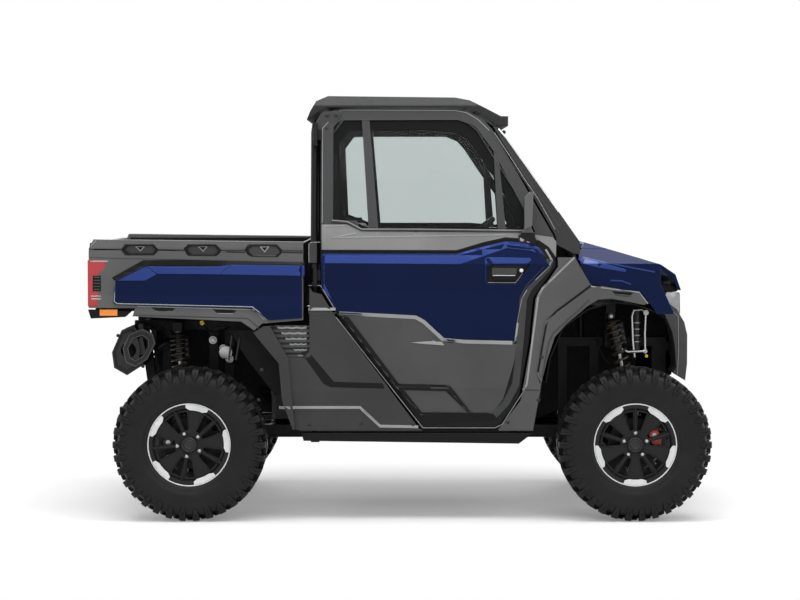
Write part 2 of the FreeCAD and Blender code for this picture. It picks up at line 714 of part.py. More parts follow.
def rear_wall():
    """The panel behind the seats, open above for the rear window."""
    low = s.floor_height + (waist - s.floor_height) * 0.62
    top = door_top - s.belt_step * 0.6
    inner_half = cab_half - s.overrun
    sill = s.belt_height - s.belt_step * 0.4
    thick = s.bed_wall
    edge = s.frame_thickness * 1.6
    outer = [(-inner_half, low), (inner_half, low), (inner_half, s.belt_height - s.belt_step * 2),
             (cage_top_half - s.cage_radius, top), (-cage_top_half + s.cage_radius, top),
             (-inner_half, s.belt_height - s.belt_step * 2)]
    hole = [(-inner_half + edge * 1.5, sill), (inner_half - edge * 1.5, sill),
            (cage_top_half - s.cage_radius - edge, top - edge),
            (-cage_top_half + s.cage_radius + edge, top - edge)]
    wall = prism("YZ", outer, wall_x, thick)
    pane = prism("YZ", hole, wall_x + thick / 3, s.glass_thickness)
    return cut(wall, prism("YZ", hole, wall_x - s.overrun, thick + s.overrun * 2)), pane


def screen_section(inset):
    """The front section between the leaning door frames, drawn in by an inset."""
    low, high = s.belt_height - s.belt_step * 3, door_top + s.overrun
    return [(-leaned(low, inset), low), (leaned(low, inset), low), (leaned(high, inset), high),
            (-leaned(high, inset), high)]


def screen():
    """The windscreen pane, as wide as the surround leaves it."""
    top, foot = header_low - s.seat_gap, cowl_top + s.seat_gap
    back = s.frame_thickness * 0.15
    pane = [(on_screen(top, back), top), (on_screen(foot, back), foot),
            (on_screen(foot, back + s.glass_thickness * 1.2), foot),
            (on_screen(top, back + s.glass_thickness * 1.2), top)]
    whole = across(pane, body_half)
    left = on_screen(top, back) - s.overrun * 2
    section = prism("YZ", screen_section(s.frame_thickness + s.seat_gap), left,
                    screen_foot[0] - left + s.overrun)
    return common(whole, section)


def screen_surround(doorway):
    """Covers over both front pillars, tied by a header above the glass and the cowl panel below it."""
    top, foot = screen_top[1] - s.seat_gap, screen_foot[1]
    low = s.belt_height - s.belt_step * 1.4
    width = s.rail_size * 3
    depth = width * 0.12
    cover = [(on_screen(top, width), top), (on_screen(top, 0), top), (on_screen(foot, 0), foot),
             (on_screen(foot, 0), low), (on_screen(foot, width * 0.2), low),
             (on_screen(foot, width), foot)]
    below, above = low - s.overrun, top + s.overrun
    section = [(leaned(below), below), (leaned(above), above),
               (leaned(above, s.frame_thickness), above), (leaned(below, s.frame_thickness), below)]
    side = cut(faced(cover, section, on_screen(top, width), screen_foot[0] + s.overrun), doorway)
    header = across([(on_screen(header_low, depth), header_low), (on_screen(header_low, 0), header_low),
                     (on_screen(top, 0), top), (on_screen(top, depth), top)],
                    leaned(top, s.frame_thickness / 2))
    cowl = across([(on_screen(foot, depth), low), (on_screen(foot, 0), low),
                   (on_screen(foot, 0), cowl_top),
                   (on_screen(foot, depth), cowl_top)], leaned(low, s.frame_thickness / 2))
    return fused(side, mirrored(side), header, cowl)


seat_widths = [(-0.97, -0.38), (-0.31, 0.31), (0.38, 0.97)]


def seats(shares):
    """Three cushions or backs side by side."""
    half = cab_half - s.overrun
    return gathered(*[prism("XZ", door_box.outline(shares), half * left, half * (right - left))
                      for left, right in seat_widths])


wheel_axis = Vector(0.643, 0, -0.766)
wheel_spot = (door_front - s.wheel_radius * 2.1, body_half / 2, s.belt_height - s.belt_step * 0.75)


def along_column(reach):
    """A point on the steering column, so far below the wheel."""
    return (wheel_spot[0] + reach * wheel_axis.x, wheel_spot[1], wheel_spot[2] + reach * wheel_axis.z)


def dashboard():
    """The dash panel across the cab, with the steering column."""
    half = body_half - s.pillar_inset * 2.5
    panel = across(flare_box.outline(DASH_SHARES), half)
    column = swept([along_column(s.wheel_radius * 0.5), along_column(s.wheel_radius * 1.6)],
                   s.column_radius)
    return fused(panel, column)


def steering_wheel():
    """A ring on three spokes round a hub."""
    ring = doc.addObject("Part::Torus", "Ring")
    bind(ring, "Radius1", s.wheel_radius - s.wheel_rim_radius)
    bind(ring, "Radius2", s.wheel_rim_radius)
    ring.Placement = Placement(vector(wheel_spot), Rotation(Vector(0, 0, 1), wheel_axis))
    ring.recompute()
    hub = swept([along_column(s.wheel_rim_radius * 0.2), along_column(s.wheel_radius * 0.5 - s.seat_gap)],
                s.column_radius * 1.5)
    spokes = []
    across_wheel = wheel_axis.cross(Vector(0, 1, 0)).normalize()
    for direction in (Vector(0, 1, 0), Vector(0, -1, 0), across_wheel):
        end = vector(wheel_spot) + direction * float(s.wheel_radius - s.wheel_rim_radius)
        middle = vector(along_column(s.wheel_radius * 0.2))
        spokes.append(swept([tuple(middle), tuple(end)], s.wheel_rim_radius * 0.7))
    return fused(ring, hub, *spokes)


# Side panels, sills and arch trims: outlines that the doorway and its shut gap are cut from
SIDE_SHARES = [(-0.082, -0.018), (0.43, -0.018), (0.43, 0.1), (0.08, 0.6), (0, 0.65), (-0.034, 0.66),
               (-0.048, 0.685)]
QUARTER_PANEL_SHARES = [(-0.048, 0.7511), (-0.075, 0.6825), (-0.139, 0.6825), (-0.112, -0.0182)]
SIDE_STEP_SHARES = [(-0.112, 0.095), (0.173, 0.095), (0.256, -0.004), (0.267, -0.004), (0.18, 0.103),
                    (-0.112, 0.103)]
PILLAR_COVER_SHARES = [(-0.052, 0.802), (-0.017, 0.802), (-0.017, 0.897), (-0.052, 0.897)]
COWL_SHARES = [(-0.6219, -0.018), (-0.2462, -0.018), (-0.1555, 0.22), (-0.0959, 0.331),
               (-0.013, 0.442), (0.1062, 0.502), (0.342, 0.591), (0.4612, 0.624), (0.6115, 0.628),
               (0.7799, 0.616), (0.9665, 0.598), (1.0002, 0.605), (0.9173, 0.657), (0.5105, 0.689),
               (0.4094, 0.684), (0.3679, 0.706), (0.2073, 0.828), (-0.1296, 0.828), (-0.5182, 0.5),
               (-0.7774, 0.1)]
FLARE_BAND_SHARES = [(0.106, 0.502), (0.342, 0.591), (0.461, 0.624), (0.611, 0.628), (0.78, 0.616),
                     (0.967, 0.598),
                     (1, 0.605), (0.917, 0.657), (0.51, 0.689), (0.409, 0.684), (-0.117, 0.518),
                     (-0.212, 0.265),
                     (-0.16, 0.218), (-0.13, 0.27), (-0.096, 0.331), (-0.013, 0.442)]
FLARE_SLOT_SHARES = [(0.611, 0.666), (0.847, 0.657), (0.8, 0.634), (0.66, 0.64)]
ARCH_TRIM_SHARES = [(-0.245, 0.9954), (-0.216, 0.9995), (-0.139, 0.6825), (-0.112, -0.0182),
                    (-0.12, -0.0182), (-0.165, 0.2645), (-0.179, 0.634), (-0.286, 0.9328)]
SILL_SHARES = [(-0.083, -0.028), (-0.075, -0.066), (0.844, -0.08), (0.905, -0.028)]
VENT_SHARES = [(-0.216, 0.9995), (-0.048, 0.9995), (-0.048, 0.7511), (-0.075, 0.6825),
               (-0.139, 0.6825)]
panel_depth = s.door_thickness * 0.7


def side_face(low, high, proud=0):
    """The lower body's outer face, flat above and tucked in at its foot."""
    face = body_half + proud
    return [(face - s.skin_thickness * 1.5, low - s.overrun), (face, low + s.door_thickness * 3.4),
            (face, high + s.overrun)]


def side_section(low, high, depth, proud=0):
    """A panel of the lower body, from its outer face to a depth behind it."""
    return side_face(low, high, proud) + [(across - depth, up) for across,
                                          up in side_face(low, high)[::-1]]


def side_panels(doorway):
    """The panel behind each door, the cover over the pillar's foot and the arch's trim."""
    section = side_section(s.door_bottom, s.belt_height, panel_depth)
    left, right = door_rear - door_length * 0.2, door_rear + door_length * 0.5
    step = relief(door_box.outline(SIDE_STEP_SHARES), side_face(s.door_bottom, s.belt_height),
                  s.skin_thickness / 4,
                  left, right)
    outline = door_box.outline(SIDE_SHARES) + quarter_box.outline(QUARTER_PANEL_SHARES)
    panel = cut(faced(outline, section, left, right), doorway, step)
    cover = cut(faced(door_box.outline(PILLAR_COVER_SHARES), section, left, right), doorway)
    foot = s.door_bottom - s.overrun
    edge = [(body_half - panel_depth, foot), (body_half + s.skin_thickness * 0.5, foot),
            (body_half + s.skin_thickness, bed_bottom), (body_half - panel_depth, bed_bottom)]
    trim = faced(quarter_box.outline(ARCH_TRIM_SHARES), edge, door_rear - door_length * 0.3, door_rear)
    return gathered(*[both(piece) for piece in (panel, cover, trim)])


def front_flares(doorway):
    """The grey panel between door and front wheel, with the flare that runs over the tyre."""
    section = side_section(s.door_bottom, s.belt_height, s.skin_thickness - s.seat_gap)
    left, right = door_rear + door_length * 0.6, front_axle + tyre_radius
    panel = cut(faced(flare_box.outline(COWL_SHARES), section, left, right), doorway)
    proud = side_section(s.door_bottom, s.belt_height, s.skin_thickness - s.seat_gap,
                         s.skin_thickness * 0.5)
    band = faced(flare_box.outline(FLARE_BAND_SHARES), proud, left, right)
    slot = prism("XZ", flare_box.outline(FLARE_SLOT_SHARES), body_half, s.overrun)
    return both(cut(fused(panel, band), slot))


bevel_share = math.tan(math.radians(22.5))


def underguard():
    """A skid plate under the frame and a sill along each side."""
    thick = s.skin_thickness
    under = belly - rail_half - s.seat_gap
    nose = frame_nose + rail_half + s.seat_gap
    knee = (rail_half + s.seat_gap) * bevel_share
    lift = s.floor_height * 1.15
    plate = across([(rear_axle + tyre_radius, under), (frame_nose - s.rail_size + knee, under),
                    (nose, belly + s.rail_size - knee), (nose, lift), (nose + thick / 2, lift),
                    (nose + thick / 2, belly + s.rail_size - knee - thick * bevel_share),
                    (frame_nose - s.rail_size + knee + thick * bevel_share, under - thick),
                    (rear_axle + tyre_radius, under - thick)], frame_half + rail_half)
    sill = prism("XZ", door_box.outline(SILL_SHARES), body_half - s.door_thickness * 1.5,
                 s.door_thickness * 1.2)
    return gathered(plate, both(sill))


def vents():
    """A louvred panel behind each door."""
    inner = body_half - panel_depth
    plate = prism("XZ", quarter_box.outline(VENT_SHARES), inner, panel_depth * 0.6)
    low, high = quarter_box.spot(0, 0.699)[1], quarter_box.high
    count = 6
    pitch = (high - low) / count
    left = door_rear - door_length * 0.23
    slots = [box((left, -body_half, low + pitch * (turn + 0.3)),
                 (door_rear, -(inner + panel_depth * 0.25),
                  low + pitch * (turn + 0.75))) for turn in range(count)]
    return both(cut(plate, fused(*slots)))


# Front clip: one form, hollowed and split into the bonnet and the two wings
CLIP_SHARES = [(0, 0), (1, 0), (1, 0.5), (0.94, 0.68), (0.8, 0.78), (0.38, 0.91), (0.08, 1), (0, 0.9)]
clip_box = Box(screen_foot[0] + s.shut_gap * 0.5, half_length - tyre_radius * 0.32,
               s.belt_height * 0.6184,
               s.belt_height - s.belt_step * 0.65)
clip_half = body_half - s.skin_thickness
clip_wall = s.skin_thickness * 0.6
bonnet_half = s.frame_width * 1.1
shoulder_drop = s.belt_step


def clip_form(inset):
    """The clip's solid form, its shoulders sloped by a wide chamfer, drawn in by an inset."""
    inner = Box(clip_box.left - inset, clip_box.right - inset, clip_box.low - inset * 4,
                clip_box.high - inset)
    half = clip_half - inset
    form = across(inner.outline(CLIP_SHARES), half)
    reach = bonnet_half * 0.75
    low = inner.low - s.overrun
    section = [(-half, low), (half, low), (half, inner.high - shoulder_drop * 1.5),
               (half - reach, inner.high + s.overrun),
               (-half + reach, inner.high + s.overrun), (-half, inner.high - shoulder_drop * 1.5)]
    side = prism("YZ", section, inner.left - s.overrun, inner.right - inner.left + s.overrun * 2)
    return common(form, side)


WING_SHARES = [(0, 0.62), (0.16, 0.58), (0.2, 0.55), (0.62, 0.46), (0.72, 0.3), (0.88, 0.3), (0.75, 0.6),
               (0.74, 1.1), (0, 1.1)]


def bonnet_and_wings():
    """The lid between the shut lines, and a wing outside each."""
    shell = cut(clip_form(0), clip_form(clip_wall))
    low = clip_box.spot(0, 0.52)[1]
    lid = common(shell, box((clip_box.left + s.shut_gap * 2, -bonnet_half, low),
                            (clip_box.right + s.overrun, bonnet_half, s.belt_height + s.overrun)))
    wing = common(shell, prism("XZ", clip_box.outline(WING_SHARES), bonnet_half + s.shut_gap, body_half))
    return lid, both(wing)


FASCIA_SHARES = [(0.02, 0.93), (0.3, 0.9), (0.52, 0.72), (0.72, 0.67), (0.92, 0.55), (1, 0.43), (1, 0.16),
                 (0.95, 0),
                 (0.62, 0.07), (0.71, 0.12), (0.67, 0.32), (0.6, 0.46), (0.4, 0.62)]
fascia_half = s.track / 2 - s.tyre_width * 0.83


def front_fascia():
    """The moulded bumper, open in the middle for the grille."""
    form = across(fascia_box.outline(FASCIA_SHARES), fascia_half)
    half = fascia_half * 0.55
    low, high = fascia_box.spot(0, 0.2)[1], fascia_box.spot(0, 0.95)[1]
    hole = box((fascia_box.left - s.overrun, -half, low), (fascia_box.right + s.overrun, half, high))
    return cut(form, hole)


def grille():
    """Horizontal bars in a frame, in the fascia's opening."""
    half = fascia_half * 0.55 - s.seat_gap
    low, high = fascia_box.spot(0, 0.2)[1] + s.seat_gap, fascia_box.spot(0, 0.72)[1]
    back, front = grille_back, fascia_box.spot(0.84, 0)[0]
    edge = s.skin_thickness
    border = cut(box((back, -half, low), (front, half, high)),
                 box((back - s.overrun, -half + edge, low + edge),
                     (front + s.overrun, half - edge, high - edge)))
    count = 5
    pitch = (high - low) / count
    bars = [box((back, -half + edge / 2, low + pitch * (turn + 0.9)),
                (front - edge / 2, half - edge / 2, low + pitch * (turn + 1.1)))
            for turn in range(count - 1)]
    return fused(border, *bars)


LAMP_SHARES = [(0.42, 0.803), (0.52, 0.721), (0.72, 0.671), (0.8, 0.623), (0.786, 0.83), (0.45, 0.83)]


def headlamps():
    """A wedge-shaped lamp at each corner of the nose."""
    lamp = prism("XZ", fascia_box.outline(LAMP_SHARES), fascia_half * 0.58, fascia_half * 0.4)
    return both(lamp)


LINER_SHARES = [(-0.1114, 0.22), (-0.0648, 0.34), (0.0777, 0.49), (0.3498, 0.578), (0.6219, 0.612),
                (0.881, 0.6), (1.1142, 0.56)]


def arch_liners():
    """A bent sheet over each front tyre, from the frame out to the flare."""
    outer = flare_box.outline(LINER_SHARES)
    thin = s.glass_thickness
    inner = [(x + thin * 0.8, up - thin) for x, up in reversed(outer)]
    start = frame_half + rail_half + s.shut_gap
    return both(prism("XZ", outer + inner, start, clip_half - clip_wall - s.seat_gap - start))


# Where the arms, hubs and half shafts meet
arm_inner = frame_half + rail_half + s.arm_radius * 1.5 + s.seat_gap
kingpin_y = wheel_centre - s.kingpin_inset
lower_eye = axle_height - s.knuckle_height / 2 - s.arm_eye_radius * 0.7 - s.seat_gap
upper_eye = axle_height + s.knuckle_height / 2 + s.arm_eye_radius * 0.7 + s.seat_gap
upper_arm_in = upper_eye + s.upper_arm_rise
brace_up = upper_arm_in - s.upper_arm_rise * (shock_y - arm_inner) / (kingpin_y - arm_inner)


# Engine, exhaust and driveline
engine_rear = pillar - s.rail_size * 5.2
engine_front = pillar + s.rail_size * 4


def engine():
    """One plain block between the rails."""
    reach = (s.frame_width - s.rail_size) / 2 - s.shut_gap * 3
    low = belly + rail_half + s.seat_gap
    block = box_body((engine_rear, -reach, low), (engine_front, reach, belly + s.rail_size * 6.4))
    return dressed(block, "Chamfer", s.overrun, lambda end: True)


def shrunk(frame, edge):
    """A box drawn in by an edge all round."""
    return Box(frame.left + edge, frame.right - edge, frame.low + edge, frame.high - edge)


MUFFLER_SHARES = [(0.29, 0.9), (0.65, 1), (0.92, 0.75), (1, 0.5), (0.92, 0.2), (0.45, 0), (0.06, 0.15),
                  (0, 0.46)]


def muffler():
    """An eight-sided can across the tail, outside the right rail, with its outlet to the side."""
    low = bed_bottom - s.tyre_width * 0.19
    can = Box(-half_length + s.bed_pivot_setback * 0.42, -half_length + s.bed_pivot_setback * 1.22,
              low - s.tyre_diameter * 0.34, low - s.shut_gap * 0.5)
    start = frame_half + rail_half + s.overrun
    length = wheel_centre - s.tyre_width / 2 - s.overrun * 2 - start
    end = start + length
    body = prism("XZ", can.outline(MUFFLER_SHARES), start, length)
    edge = s.shut_gap
    well = prism("XZ", shrunk(can, edge).outline(MUFFLER_SHARES), end - edge, edge * 2)
    ring = prism("XZ", shrunk(can, edge * 2.4).outline(MUFFLER_SHARES), end - edge * 2, edge * 2.4)
    middle = can.spot(0.5, 0.5)
    bore = round_bar("y", (middle[0], -(end + s.overrun), middle[1]), s.column_radius * 1.9,
                     s.overrun * 3, s.column_radius)
    hanger_x = can.spot(0.75, 0)[0]
    hanger = box((hanger_x, -(start + s.overrun), rear_rail - rail_half),
                 (hanger_x + s.rail_size, -(frame_half + rail_half + s.seat_gap), rear_rail))
    return fused(cut(fused(cut(body, well), ring), bore), hanger)


def driveline():
    """Front and rear gear cases, their half shafts, and the shafts from the engine to them."""
    case_up = axle_height + s.diff_rise
    half = s.diff_length / 2
    pieces = []
    for axle in (rear_axle, front_axle):
        pieces.append(round_bar("y", (axle, -half, case_up), s.diff_radius, s.diff_length))
        shaft_end = kingpin_y - s.knuckle_size * 1.6
        shaft = swept([(axle, -(half - s.overrun), case_up), (axle, -shaft_end, axle_height)],
                      s.half_shaft_radius)
        boot = round_bar("y", (axle, -shaft_end, axle_height), s.half_shaft_radius * 1.7, s.rail_size,
                         s.half_shaft_radius)
        pieces += [shaft, boot, mirrored(shaft), mirrored(boot)]
    shaft_up = s.floor_height - s.shaft_radius * 0.85
    for start, end in ((rear_axle, engine_rear - s.seat_gap), (engine_front + s.seat_gap, front_axle)):
        pieces.append(swept([(start, 0, shaft_up), (end, 0, shaft_up)], s.shaft_radius))
    return gathered(fused(*pieces))


# Suspension: two wishbones and a sprung damper at each wheel
def wishbone(axle, up_in, up_out, leg_out, brace):
    """Two legs from their bushes to the ball joint's housing, and a brace that carries the damper."""
    ends = [(axle + side * s.arm_spread, -arm_inner, up_in) for side in (-1, 1)]
    eye = (axle, -kingpin_y, leg_out)
    legs = [swept([end, eye], s.arm_radius) for end in ends]
    ball = round_bar("z", (axle, -kingpin_y, up_out - s.arm_eye_radius * 0.7), s.arm_eye_radius,
                     s.arm_eye_radius * 1.4)
    bushes = [round_bar("x", (axle + side * s.arm_spread - rail_half, -arm_inner, up_in),
                        s.arm_radius * 1.5, s.rail_size)
              for side in (-1, 1)]
    pieces = [*legs, ball, *bushes]
    if brace:
        share = (shock_y - arm_inner) / (kingpin_y - arm_inner)
        up = up_in + (leg_out - up_in) * share
        reach = s.arm_spread * (1 - float(share))
        pieces.append(swept([(axle - reach, -shock_y, up), (axle + reach, -shock_y, up)], s.arm_radius))
    return fused(*pieces)


def suspension_arms():
    arms = []
    for axle in (rear_axle, front_axle):
        arms.append(wishbone(axle, belly, lower_eye, lower_eye - s.arm_eye_radius * 0.4, False))
        arms.append(wishbone(axle, upper_arm_in, upper_eye, upper_eye, True))
    return both(gathered(*arms))


COIL_SHARES = (0.2, 0.9)


def shock_absorbers():
    """A damper at each wheel inside its coil, which is the plain sleeve that the wire fills."""
    pieces = []
    for axle, top, foot_lean in ((rear_axle, shock_top_rear, s.shock_lean * 0.75),
                                 (front_axle, shock_top_front, 0)):
        start = (axle - foot_lean, -shock_y, brace_up + s.arm_radius + s.shock_radius * 0.3)
        end = (axle - s.shock_lean, -shock_y, top - s.shock_radius * 0.25)
        low, high = vector(start), vector(end)
        coil = [tuple(low + (high - low) * share) for share in COIL_SHARES]
        pieces.append(fused(swept([start, end], s.shock_radius), swept(coil, s.spring_radius)))
    return both(gathered(*pieces))


def knuckle_form(axle):
    """An upright between the ball joints, with the spindle that carries the wheel."""
    half = s.knuckle_size / 2
    post = dressed(box_body((axle - half, -(kingpin_y + half), axle_height - s.knuckle_height / 2),
                            (axle + half, -(kingpin_y - half), axle_height + s.knuckle_height / 2)),
                   "Chamfer", s.arm_radius, lambda end: True)
    hub_start = wheel_centre + s.rim_width * 0.07
    spindle = round_bar("y", (axle, -(hub_start - s.seat_gap), axle_height), s.spindle_radius,
                        hub_start - kingpin_y)
    disc_back = hub_start - s.shut_gap
    low, high = axle_height + s.shut_gap, axle_height + s.knuckle_height / 4
    reach = axle + s.disc_radius + s.caliper_depth
    arm = box((axle, -disc_back, low), (reach, -(kingpin_y - half), high))
    bridge = box((axle + s.disc_radius + s.shut_gap * 0.8, -(hub_start + s.overrun), low),
                 (reach, -(kingpin_y + half), high))
    return fused(post, spindle, arm, bridge)


def steered_knuckle():
    """A front upright with its steering arm."""
    arm_top = axle_height + s.tie_arm_rise
    arm = box((front_axle - s.tie_arm - s.rack_radius, -(kingpin_y + s.rack_radius),
               arm_top - s.rack_radius),
              (front_axle, -(kingpin_y - s.rack_radius), arm_top))
    return fused(knuckle_form(front_axle), arm)


def steering_rack():
    """The bar that slides across and ends beside the steering arms."""
    x, up = rack_spot
    return swept([(x, -kingpin_y, up), (x, kingpin_y, up)], s.rack_radius)


def hitch():
    """A square receiver tube under the tail, with a cross pin hole."""
    size = s.rail_size * 1.45
    inner = s.rail_size * 1.16
    length = s.bed_pivot_setback * 0.8
    x = -half_length + s.overrun * 3
    up = s.floor_height
    tube = box((x, -size / 2, up - size / 2), (x + length, size / 2, up + size / 2))
    bore = box((x - s.overrun, -inner / 2, up - inner / 2), (x + length * 0.8, inner / 2, up + inner / 2))
    pin = round_bar("y", (x + s.rail_size * 0.9, -size, up), s.pin_radius * 0.68, size * 2)
    beam = [(x + length, up - size / 2), (x + length + s.rail_size, up - size / 2),
            (x + length + s.rail_size * 1.6, rear_rail - rail_half - s.seat_gap),
            (x + length + s.rail_size * 0.6, rear_rail - rail_half - s.seat_gap)]
    return fused(cut(tube, bore, pin), across(beam, size))


# Wheels, made about their own centres with the outer face towards -Y
def ring_point(outward, radius, angle):
    """A point at a radius and angle about the wheel's axis."""
    return Vector(radius * math.cos(angle), outward, radius * math.sin(angle))


bead_radius = s.rim_diameter / 2 - s.rim_lip * 2
bead_half = s.rim_width / 2 - s.rim_wall - s.seat_gap


class Facet:
    """One step round the tyre. Its points are shares of the way along the step."""

    def __init__(self, turn, count):
        self.ends = [2 * math.pi * (turn + end) / count for end in (0, 1)]
        self.faces = []

    def spot(self, place, share):
        outward, radius = place
        first, last = [ring_point(outward, radius, angle) for angle in self.ends]
        return first + (last - first) * share

    def face(self, *spots):
        corners = [self.spot(place, share) for place, share in spots]
        self.faces.append(Part.Face(Part.makePolygon(corners + corners[:1])))

    def strip(self, places, start, end):
        """Flat faces between neighbouring places of a profile, over part of the step."""
        for near, far in zip(places, places[1:]):
            self.face((near, start), (near, end), (far, end), (far, start))

    def shoulder(self, side, flank, tread, lug, start, end):
        """One half of the tyre: flank, then a raised lug over part of the step and bare tread beside it."""
        flank, tread, lug = [[(outward * side, radius) for outward, radius in line] for line in (flank,
                                                                                                 tread,
                                                                                                 lug)]
        self.strip(flank[:-1], 0, 1)
        bare = (end, 1) if start == 0 else (0, start)
        middle = end if start == 0 else start
        self.face((flank[-2], 0), (flank[-2], 1), *[(flank[-1], share) for share in (1, middle, 0)])
        for line, limits in ((lug, (start, end)), (tread, bare)):
            self.strip([flank[-1], *line], *limits)
        for share in (start, end):
            self.face((flank[-1], share), *[(place, share) for place in tread],
                      *[(place, share) for place in lug[-2::-1]])


TYRE_FLANK_SHARES = [(0.9, 0.575), (0.985, 0.78)]
TREAD_SHARES = [(0.84, 0.945), (0.45, 0.952)]
LUG_SHARES = [(1, 0.93), (0.93, 1), (0.52, 1), (0.45, 0.952)]


def tyre_form():
    """A closed carcass seated on the rim between its flanges, with lugs over both shoulders."""
    half = float(s.tyre_width) / 2
    radius = float(tyre_radius)
    count = int(float(s.tyre_sides))
    stretch = 1 / math.cos(math.pi / count)
    flank = [(float(bead_half), float(bead_radius + s.seat_gap) * stretch),
             (float(bead_half), float(s.rim_diameter / 2 + s.seat_gap * 4) * stretch)]
    flank, tread, lug = [before + [(half * across, radius * up) for across, up in shares]
                         for before, shares in ((flank, TYRE_FLANK_SHARES), ([], TREAD_SHARES),
                                                ([], LUG_SHARES))]
    faces = []
    for turn in range(count):
        facet = Facet(turn, count)
        facet.shoulder(1, flank, tread, lug, 0, 0.5)
        facet.shoulder(-1, flank, tread, lug, 0.5, 1)
        bead, crown = flank[0], tread[-1]
        facet.face((bead, 0), (bead, 1), ((-bead[0], bead[1]), 1), ((-bead[0], bead[1]), 0))
        left = (-crown[0], crown[1])
        facet.face((crown, 0), (crown, 0.5), (crown, 1), (left, 1), (left, 0.5), (left, 0))
        faces += facet.faces
    return Part.makeSolid(Part.makeShell(faces))


WINDOW_TURN_SHARES = (0.055, 0.29)
REAR_RIM_TURN = -24


def rim_form():
    """A barrel with a lip each side, a face of spokes, hub and cap, and the brake disc behind it."""
    radius, half, wall = s.rim_diameter / 2, s.rim_width / 2, s.rim_wall
    well = bead_radius - s.rim_lip * 1.5
    outer = [(-half, radius), (-half + wall, radius), (-half + wall, bead_radius),
             (-half + wall * 3.5, bead_radius),
             (-half + wall * 4.5, well), (half - wall * 4.5, well), (half - wall * 3.5, bead_radius),
             (half - wall, bead_radius), (half - wall, radius), (half, radius),
             (half, bead_radius - wall * 0.8),
             (half - wall * 3, well - wall), (-half + wall * 3, well - wall),
             (-half, bead_radius - wall * 0.8)]
    barrel = revolved([(up, outward) for outward, up in outer])
    face = -half + s.face_inset
    plate_back = face + s.spoke_thickness
    disc = round_bar("y", (0, face, 0), well - wall * 0.5, s.spoke_thickness)
    windows = []
    count = int(float(s.spoke_count))
    inner_radius = s.hub_radius * 1.1
    outer_radius = well - wall * 1.2
    near, far = (math.radians(share * 360 / count) for share in WINDOW_TURN_SHARES)
    for turn in range(count):
        middle = math.radians(90 + 360 * turn / count)
        for side in (-1, 1):
            spots = [(inner_radius, near * 1.7), (outer_radius, near), (outer_radius, far),
                     (inner_radius, far * 0.94)]
            corners = [(r * math.cos(middle + side * a), r * math.sin(middle + side * a))
                       for r, a in spots]
            windows.append(prism("XZ", corners, -plate_back - s.overrun,
                                 s.spoke_thickness + s.overrun * 2))
    plate = cut(disc, fused(*windows))
    hub_end = -s.rim_width * 0.07
    hub = round_bar("y", (0, face, 0), s.hub_radius, hub_end - face)
    brake = round_bar("y", (0, hub_end - s.disc_thickness, 0), s.disc_radius, s.disc_thickness)
    cap = round_bar("y", (0, face - s.hub_cap_height, 0), s.hub_cap_radius * 0.8, s.hub_cap_height,
                    s.hub_cap_radius)
    nuts = []
    for turn in range(count):
        angle = math.radians(90 + 360 * turn / count)
        spot = (s.lug_circle_radius * math.cos(angle), face - s.lug_nut_height,
                s.lug_circle_radius * math.sin(angle))
        nuts.append(round_bar("y", spot, s.lug_nut_radius, s.lug_nut_height))
    return fused(barrel, plate, hub, brake, cap, *nuts)


def revolved(points):
    """A ring turned about the Y axis from its (radius, along) outline."""
    body = doc.addObject("PartDesign::Body", "Body")
    sketch = draw(body, "XY", points, 0)
    ring = body.newObject("PartDesign::Revolution", "Ring")
    ring.Profile = sketch
    ring.ReferenceAxis = (sketch, ["V_Axis"])
    ring.Angle = 360
    sketch.Visibility = False
    sketch.recompute()
    ring.recompute()
    body.recompute()
    return body


# Cargo bed
BED_SIDE_SHARES = [(0.005, 0.88), (0.027, 1), (1, 0.964), (1, 0.8), (1, -0.045), (0.81, -0.09),
                   (0.773, -0.18), (0.712, -0.065),
                   (0.208, 0.003), (0.22, 0.11), (0.005, 0.11)]
GROOVE_SHARES = [(-0.01, 0.858), (1.01, 0.838), (1.01, 0.858), (-0.01, 0.878)]
POCKET_SHARES = [(0, 0.53), (0.1, 1), (0.9, 1), (1, 0.53), (0.9, 0), (0.1, 0)]
POCKET_START_SHARES = (0.156, 0.447, 0.728)
SLOT_SHARES = [[(0.297, 0.122), (0.408, 0.108), (0.39, 0.066), (0.318, 0.076)],
               [(0.58, 0.094), (0.69, 0.082), (0.672, 0.04), (0.601, 0.048)]]
BED_SKIN_SHARES = [(0.127, 0.466), (0.263, 0.652), (0.608, 0.646), (0.652, 0.683), (0.995, 0.674),
                   (0.995, -0.02),
                   (0.845, -0.05), (0.786, 0.05), (0.749, 0.104), (0.134, 0.154), (0.12, 0.177)]
TAIL_LAMP_SHARES = [(0, 0.73), (0.083, 0.73), (0.079, 0.626), (0.05, 0.565), (0.046, 0.129), (0, 0.129)]
TAIL_BUMPER_SHARES = [(0, 0.087), (0.201, 0.065), (0.172, -0.008), (0.013, -0.028)]


